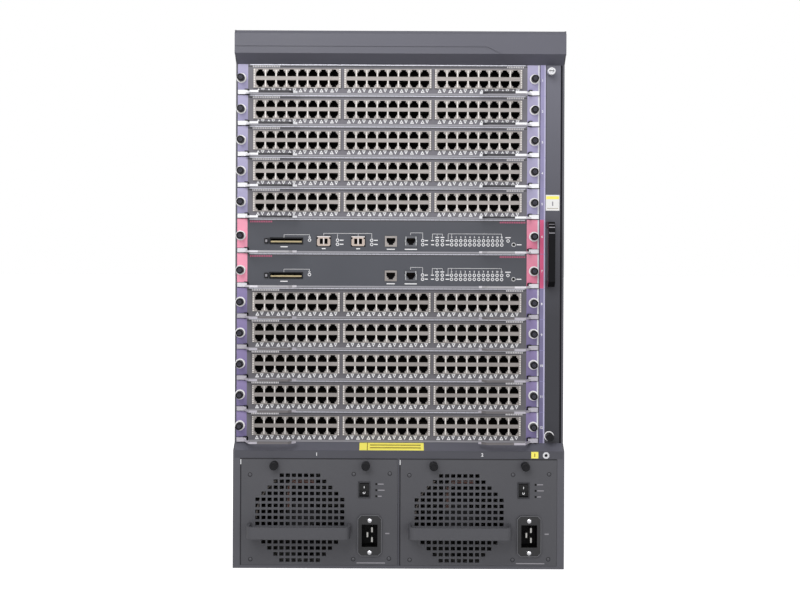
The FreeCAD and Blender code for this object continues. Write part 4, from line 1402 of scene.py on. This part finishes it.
def psuFinish(name, low, high):
    def block(place, size, y, *look):
        return (about(place[0], size[0]), y, about(place[1], size[1]), *look)

    wide, tall = (low.x - 1, high.x + 1), (low.z - 1, high.z + 1)
    proud, behind = psuFace - 0.05, psuFace + 2.05
    panel = (proud, psuFace + 2.1)
    inlet, rocker = fromRight(low, high, psu["inlet"]), fromRight(low, high, psu["rocker"])
    frame = [side + 0.2 for side in psu["inletSize"]]
    mouth = [side + 0.1 for side in psu["mouth"]]
    vent = (ventMiddle(low, high), psu["ventShade"], (behind, psuFace + 40))
    patches = [
        (wide, (behind, rearFace), tall, (146, 146, 144), 0.42, 0.5),
        block(*vent, (28, 28, 29), 0.6, 1.0),
        # painted shade along the panel's top edge, under the header
        (wide, panel, (high.z - 1.3, high.z + 1), (34, 34, 39), 0.5, 0.0),
        # painted shade in the seam along the panel's left edge
        ((low.x - 0.1, low.x + 1.4), panel, tall, (28, 27, 33), 0.6, 0.0),
        (wide, (psuFace - 20, proud), (high.z - 16, high.z), (35, 35, 37), 0.4, 1.0),
        block(rocker, psu["rockerFrame"], (psuFace - 1.4, proud), (42, 42, 47), 0.5, 0.0),
        block(rocker, psu["rockerWell"], (psuFace - 0.1, psuFace + 9), (32, 32, 34), 0.5, 1.0),
        block(inlet, frame, (psuFace - 3.2, proud), (40, 40, 42), 0.42, 0.0),
        block(inlet, mouth, (psuFace - 2.9, psuFace + 30), (31, 31, 32), 0.5, 1.0),
        block(inlet, psu["blades"], (psuFace - 0.2, psuFace + 18), (205, 204, 200), 0.3, 0.6),
    ]
    return patched(name + "Finish", {"colour": (78, 78, 83), "roughness": 0.44, "gloss": 0.45}, patches)


def psuHardware(name, low, high):
    home = (name, "psu_metal")
    places = (low.x + psu["knobs"][0], high.x - psu["knobs"][1])
    knobs = mergeShapes(*(knobShape(x, high.z - psu["knobDrop"], *psu["knob"]) for x in places))
    placeShape(name + "_knobs", carryBack(knobs, psuFace), blackKnob, *home, 30)
    placeMesh(name + "_vent_bars", ventBars(low, high), *home)
    rivets = [(low.x + x, psuFace, low.z + z) for x, z in psu["rivets"]]
    head = turned([(-0.6, 0), (-0.55, 1.2), (-0.2, 1.9), (0.05, 1.9), (0.05, 0)], 16)
    placeMesh(name + "_rivets", partsOnPoints(head, rivets, psuPaint, 30), *home)
    rim = ringShape(1.75, 3.0, 16)
    placeMesh(name + "_rivet_rims", partsOnPoints(rim, rivets, psuDark), *home)
    x, z = fromRight(low, high, psu["inlet"])
    front = psuFace - psu["inletFront"]
    head = turned([(-1.2, 0), (-1.1, 1.6), (-0.5, 2.7), (0.05, 2.7), (0.05, 0)], 20)
    screws = [(x, front, z - 1.2 + side * psu["screws"]) for side in (-1, 1)]
    placeMesh(name + "_inlet_screws", partsOnPoints(head, screws, brightSteel, 30), *home)
    # the pale rim round the inlet is a painted highlight on the edge of its cut-out
    rim = newShape()
    w, h = psu["inletSize"]
    inner = chamferedOutline(x, z, (w - 1.0, h - 1.0), 4.2)
    addPlate(rim, chamferedOutline(x, z, (w, h), 4.5), [inner], (front - 0.12, front + 0.02))
    placeShape(name + "_inlet_rim", rim, psuEdgeHighlight, *home)


def psuPrint(name, low, high):
    home = (name, "psu_metal")
    bars, lamps = newShape(), newShape()
    thin, lampX = (-0.12, 0.05), high.x - psu["lampInset"]
    for z, length in psu["lamps"]:
        addBox(lamps, about(lampX, 2.4), (-0.25, 0.05), about(low.z + z, 2.6))
        addBox(bars, (lampX + 2.2, lampX + 2.2 + length), thin, about(low.z + z, 1.3))
    x, z = fromRight(low, high, psu["inlet"])
    addBox(bars, (x + 20.6, x + 26.0), thin, about(z + 2.4, 1.6))
    addBox(bars, (x - 17.0, x + 20.5), thin, about(low.z + 3.2, 1.3))
    placeShape(name + "_print", carryBack(bars, psuFace), printDim, *home)
    placeShape(name + "_lamps", carryBack(lamps, psuFace), blackInsert, *home)
    # a painted highlight: a pale strip at the top of the panel's left edge
    edge = ((low.x + 0.1, low.x + 1.1), (psuFace - 0.08, psuFace + 0.05), (high.z - 8.0, high.z - 1.5))
    placeBox(name + "_edge", *edge, printWhite, *home)


def rockerMarks(name, low, high):
    # I and O on the switch
    node = name + "_rocker"
    x, z = fromRight(low, high, psu["rocker"])
    upper, lower = z + psu["rockerMark"], z - psu["rockerMark"]
    bar, ring = newShape(), newShape()
    addBox(bar, about(x, 0.8), (-0.25, 0.6), about(upper, 3.0))
    addLathe(ring, x, lower, [(-0.25, 1.0), (-0.25, 1.7), (0.6, 1.7), (0.6, 1.0)], 18, closed=True)
    marks = mergeShapes(carryBack(bar, frontOf(node, x, upper)), carryBack(ring, frontOf(node, x, lower)))
    placeShape(name + "_switch_marks", marks, printWhite, node, "rocker_plastic")


def dressPowerSupplies():
    for name in ("psu_1", "psu_2"):
        low, high = (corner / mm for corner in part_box(name))
        setFinish(name, psuFinish(name, low, high))
        psuHardware(name, low, high)
        psuWires(name, low)
        psuPrint(name, low, high)
        setFinish(name + "_rocker", rockerGloss)
        rockerMarks(name, low, high)
        setFinish(name + "_fan_rotor", rotorPlastic)
    print("power supplies dressed")


# Chassis: header, ledge, bezel and the sheets behind

ledge = {
    "foot": 155.0,
    "top": 164.0,
    "span": (0.06, 0.94),        # how far up the slope the sticker and its divider reach
    "lift": (0.15, 0.22),        # sticker, printing
    "sticker": (-52.0, 33.0),
    "divider": -42.0,
    "lines": (0.3, 0.62),
    "square": ((174.4, 183.7), (145.9, 154.6)),
    "digits": (("1", -108.0), ("2", 110.0)),
    "digitZ": 150.0,
}


def addSlopePlate(shape, x, t, lift):
    # A thin plate on the sloping ledge; t runs from its foot, 0, to its top, 1
    foot = Vector((0, psuFace, ledge["foot"]))
    way = Vector((0, cardFace, ledge["top"])) - foot
    out = Vector((0, -way.z, way.y)).normalized()
    corners = [foot + way * share + out * height + Vector((u, 0, 0))
               for height in (0.0, lift) for share in t for u in x]
    addFaces(shape, corners, boxFaces)


def dressLedge():
    home = ("chassis", "chassis_paint")
    plate, lines = newShape(), newShape()
    (start, end), divider = ledge["sticker"], ledge["divider"]
    low, high = ledge["lift"]
    addSlopePlate(plate, (start, end), ledge["span"], low)
    addSlopePlate(lines, (divider, divider + 1.0), ledge["span"], high)
    for share in ledge["lines"]:
        addSlopePlate(lines, (divider + 4.0, end - 4.0), (share, share + 0.1), high)
    x, z = ledge["square"]
    addBox(plate, x, (psuFace - 0.15, psuFace), z)
    addBox(lines, about(sum(x) / 2, 1.2), (psuFace - 0.2, psuFace - 0.1), about(sum(z) / 2, 4.4))
    placeShape("ledge_sticker", plate, stickerYellow, *home)
    placeShape("ledge_sticker_lines", lines, stickerLine, *home)
    digits = [digitMesh(text, 6.0, x, ledge["digitZ"], psuFace - 0.06, printWhite, 0.15)
              for text, x in ledge["digits"]]
    placeMesh("bay_digits", joinMeshes(digits, printWhite), *home)
    print("ledge dressed")


screws = {"levels": 7, "margin": 40, "fromCorner": 7, "fromFace": 18, "fromRear": 12}


def sideScrews():
    # Flat screw heads along the edges of the side sheets and round the rear sheet
    def placeHeads(label, points, place, quarters, slot):
        mesh = partsOnPoints(head, points, brightSteel, 30)
        turn = Matrix.Rotation(quarters * math.pi / 2, 4, "Z")
        mesh.transform(Matrix.Translation(Vector(place) * mm) @ turn)
        placeMesh(label + "_screws", mesh, "chassis", slot)

    head = turned([(-0.18, 0), (-0.16, 2.4), (0.05, 2.6), (0.05, 0)], 12)
    step = (wallHigh.z - wallLow.z - 2 * screws["margin"]) / (screws["levels"] - 1)
    levels = [wallLow.z + screws["margin"] + n * step for n in range(screws["levels"])]
    ends = (wallLow.x + screws["fromCorner"], wallHigh.x - screws["fromCorner"])
    placeHeads("rear", [(x, 0, z) for x in ends for z in levels], (0, rearFace, 0), 2, "rear_metal")
    ends = (cardFace + screws["fromFace"], rearFace - screws["fromRear"])
    for label, x, turn in (("left", wallLow.x, -1), ("right", wallHigh.x, 1)):
        points = [(y * turn, 0, z) for y in ends for z in levels]
        placeHeads(label, points, (x, 0, 0), turn, "chassis_paint")


def headerFinish():
    # The header is darker than the ledge above it, which catches the light
    wide, levels = (-220, 220), (ledge["foot"] + 0.2, ledge["top"] + 1)
    slope = (wide, (psuFace + 0.3, cardFace + 2), levels, (94, 94, 104), 0.46, 0.0)
    behind = (wide, (cardFace + 2, rearFace), (0, 720), (120, 120, 122), 0.42, 0.4)
    return patched("headerFinish", {"colour": (70, 70, 78), "roughness": 0.46}, [slope, behind])


def wallFinish():
    # The flange beside the fan tray is dark where it lies in the tray's shade
    x, z = (trayHigh.x, 215.4), (wallLow.z + 164, trayHigh.z)
    gap = (x, (cardFace - 0.1, cardFace + 2.5), z, (34, 33, 38), 0.6, 1.0)
    return patched("wallFinish", {"colour": (84, 84, 91)}, [gap])


def finishChassis():
    finishes = {
        "side_walls": wallFinish(),
        "base_panel": chassisPaint,
        "top_panel": chassisPaint,
        "psu_bay_frame": headerFinish(),
        "top_bezel": bezelPlastic,
        "rear_panel": zincSheet,
        "wrist_strap_socket": brightSteel,
        "card_guides": guidePlastic,
        "backplane": boardGreen,
    }
    for node, material in finishes.items():
        setFinish(node, material)
    dressLedge()
    sideScrews()
    print("chassis finished")


# Floor, light and air

studio = {
    "floorReach": 20.0,
    "floorTone": (238, 238, 238),
    "floorGlow": 0.8,
    "air": 0.38,
    "airGlow": 0.62,        # added where the camera, a mirror or clear glass shows it
    "key": ((-0.7, -2.5, 1.9), (0, -0.2, 0.5), 46),
    "fill": ((1.6, -2.6, 0.9), (0, -0.2, 0.35), 11),
    "lampSize": 1.8,
}


def addArea(name):
    place, aim, power = studio[name]
    lamp = bpy.data.lights.new(name, "AREA")
    lamp.energy = power
    lamp.size = studio["lampSize"]
    piece = addObject(name, lamp)
    piece.location = place
    piece.rotation_euler = (Vector(aim) - Vector(place)).to_track_quat("-Z", "Y").to_euler()


def shownRays(tree):
    # What the camera, a glossy surface or a clear one shows
    path = tree.nodes.new("ShaderNodeLightPath").outputs
    seen = mathNode(tree, "MAXIMUM", path["Is Camera Ray"], path["Is Glossy Ray"])
    return mathNode(tree, "MAXIMUM", seen, path["Is Transmission Ray"])


def addFloor():
    mesh = bpy.data.meshes.new("floor")
    reach = studio["floorReach"]
    corners = [(-reach, -reach, 0), (reach, -reach, 0), (reach, reach, 0), (-reach, reach, 0)]
    mesh.from_pydata(corners, [], [(0, 1, 2, 3)])
    material, tree, shader = newMaterial("paleFloor")[:3]
    shader.inputs["Base Color"].default_value = screenColour(*studio["floorTone"])
    shader.inputs["Roughness"].default_value = 0.8
    shader.inputs["Emission Color"].default_value = (1, 1, 1, 1)
    path = tree.nodes.new("ShaderNodeLightPath").outputs
    glow = mathNode(tree, "MULTIPLY", path["Is Camera Ray"], studio["floorGlow"])
    tree.links.new(glow, shader.inputs["Emission Strength"])
    mesh.materials.append(material)
    addObject("floor", mesh)


def addLight():
    world = bpy.data.worlds.new("studio")
    bpy.context.scene.world = world
    world.use_nodes = True
    tree = world.node_tree
    glow = tree.nodes["Background"]
    glow.inputs["Color"].default_value = (1, 1, 1, 1)
    shown = mathNode(tree, "MULTIPLY", shownRays(tree), studio["airGlow"])
    tree.links.new(mathNode(tree, "ADD", studio["air"], shown), glow.inputs["Strength"])
    addArea("key")
    addArea("fill")


addCamera()
dressLineCards()
dressManagementCards()
finishLevers()
dressSlotStrip()
dressFanTray()
dressPowerSupplies()
finishChassis()
addFloor()
addLight()
bpy.context.scene.view_settings.view_transform = "Standard"
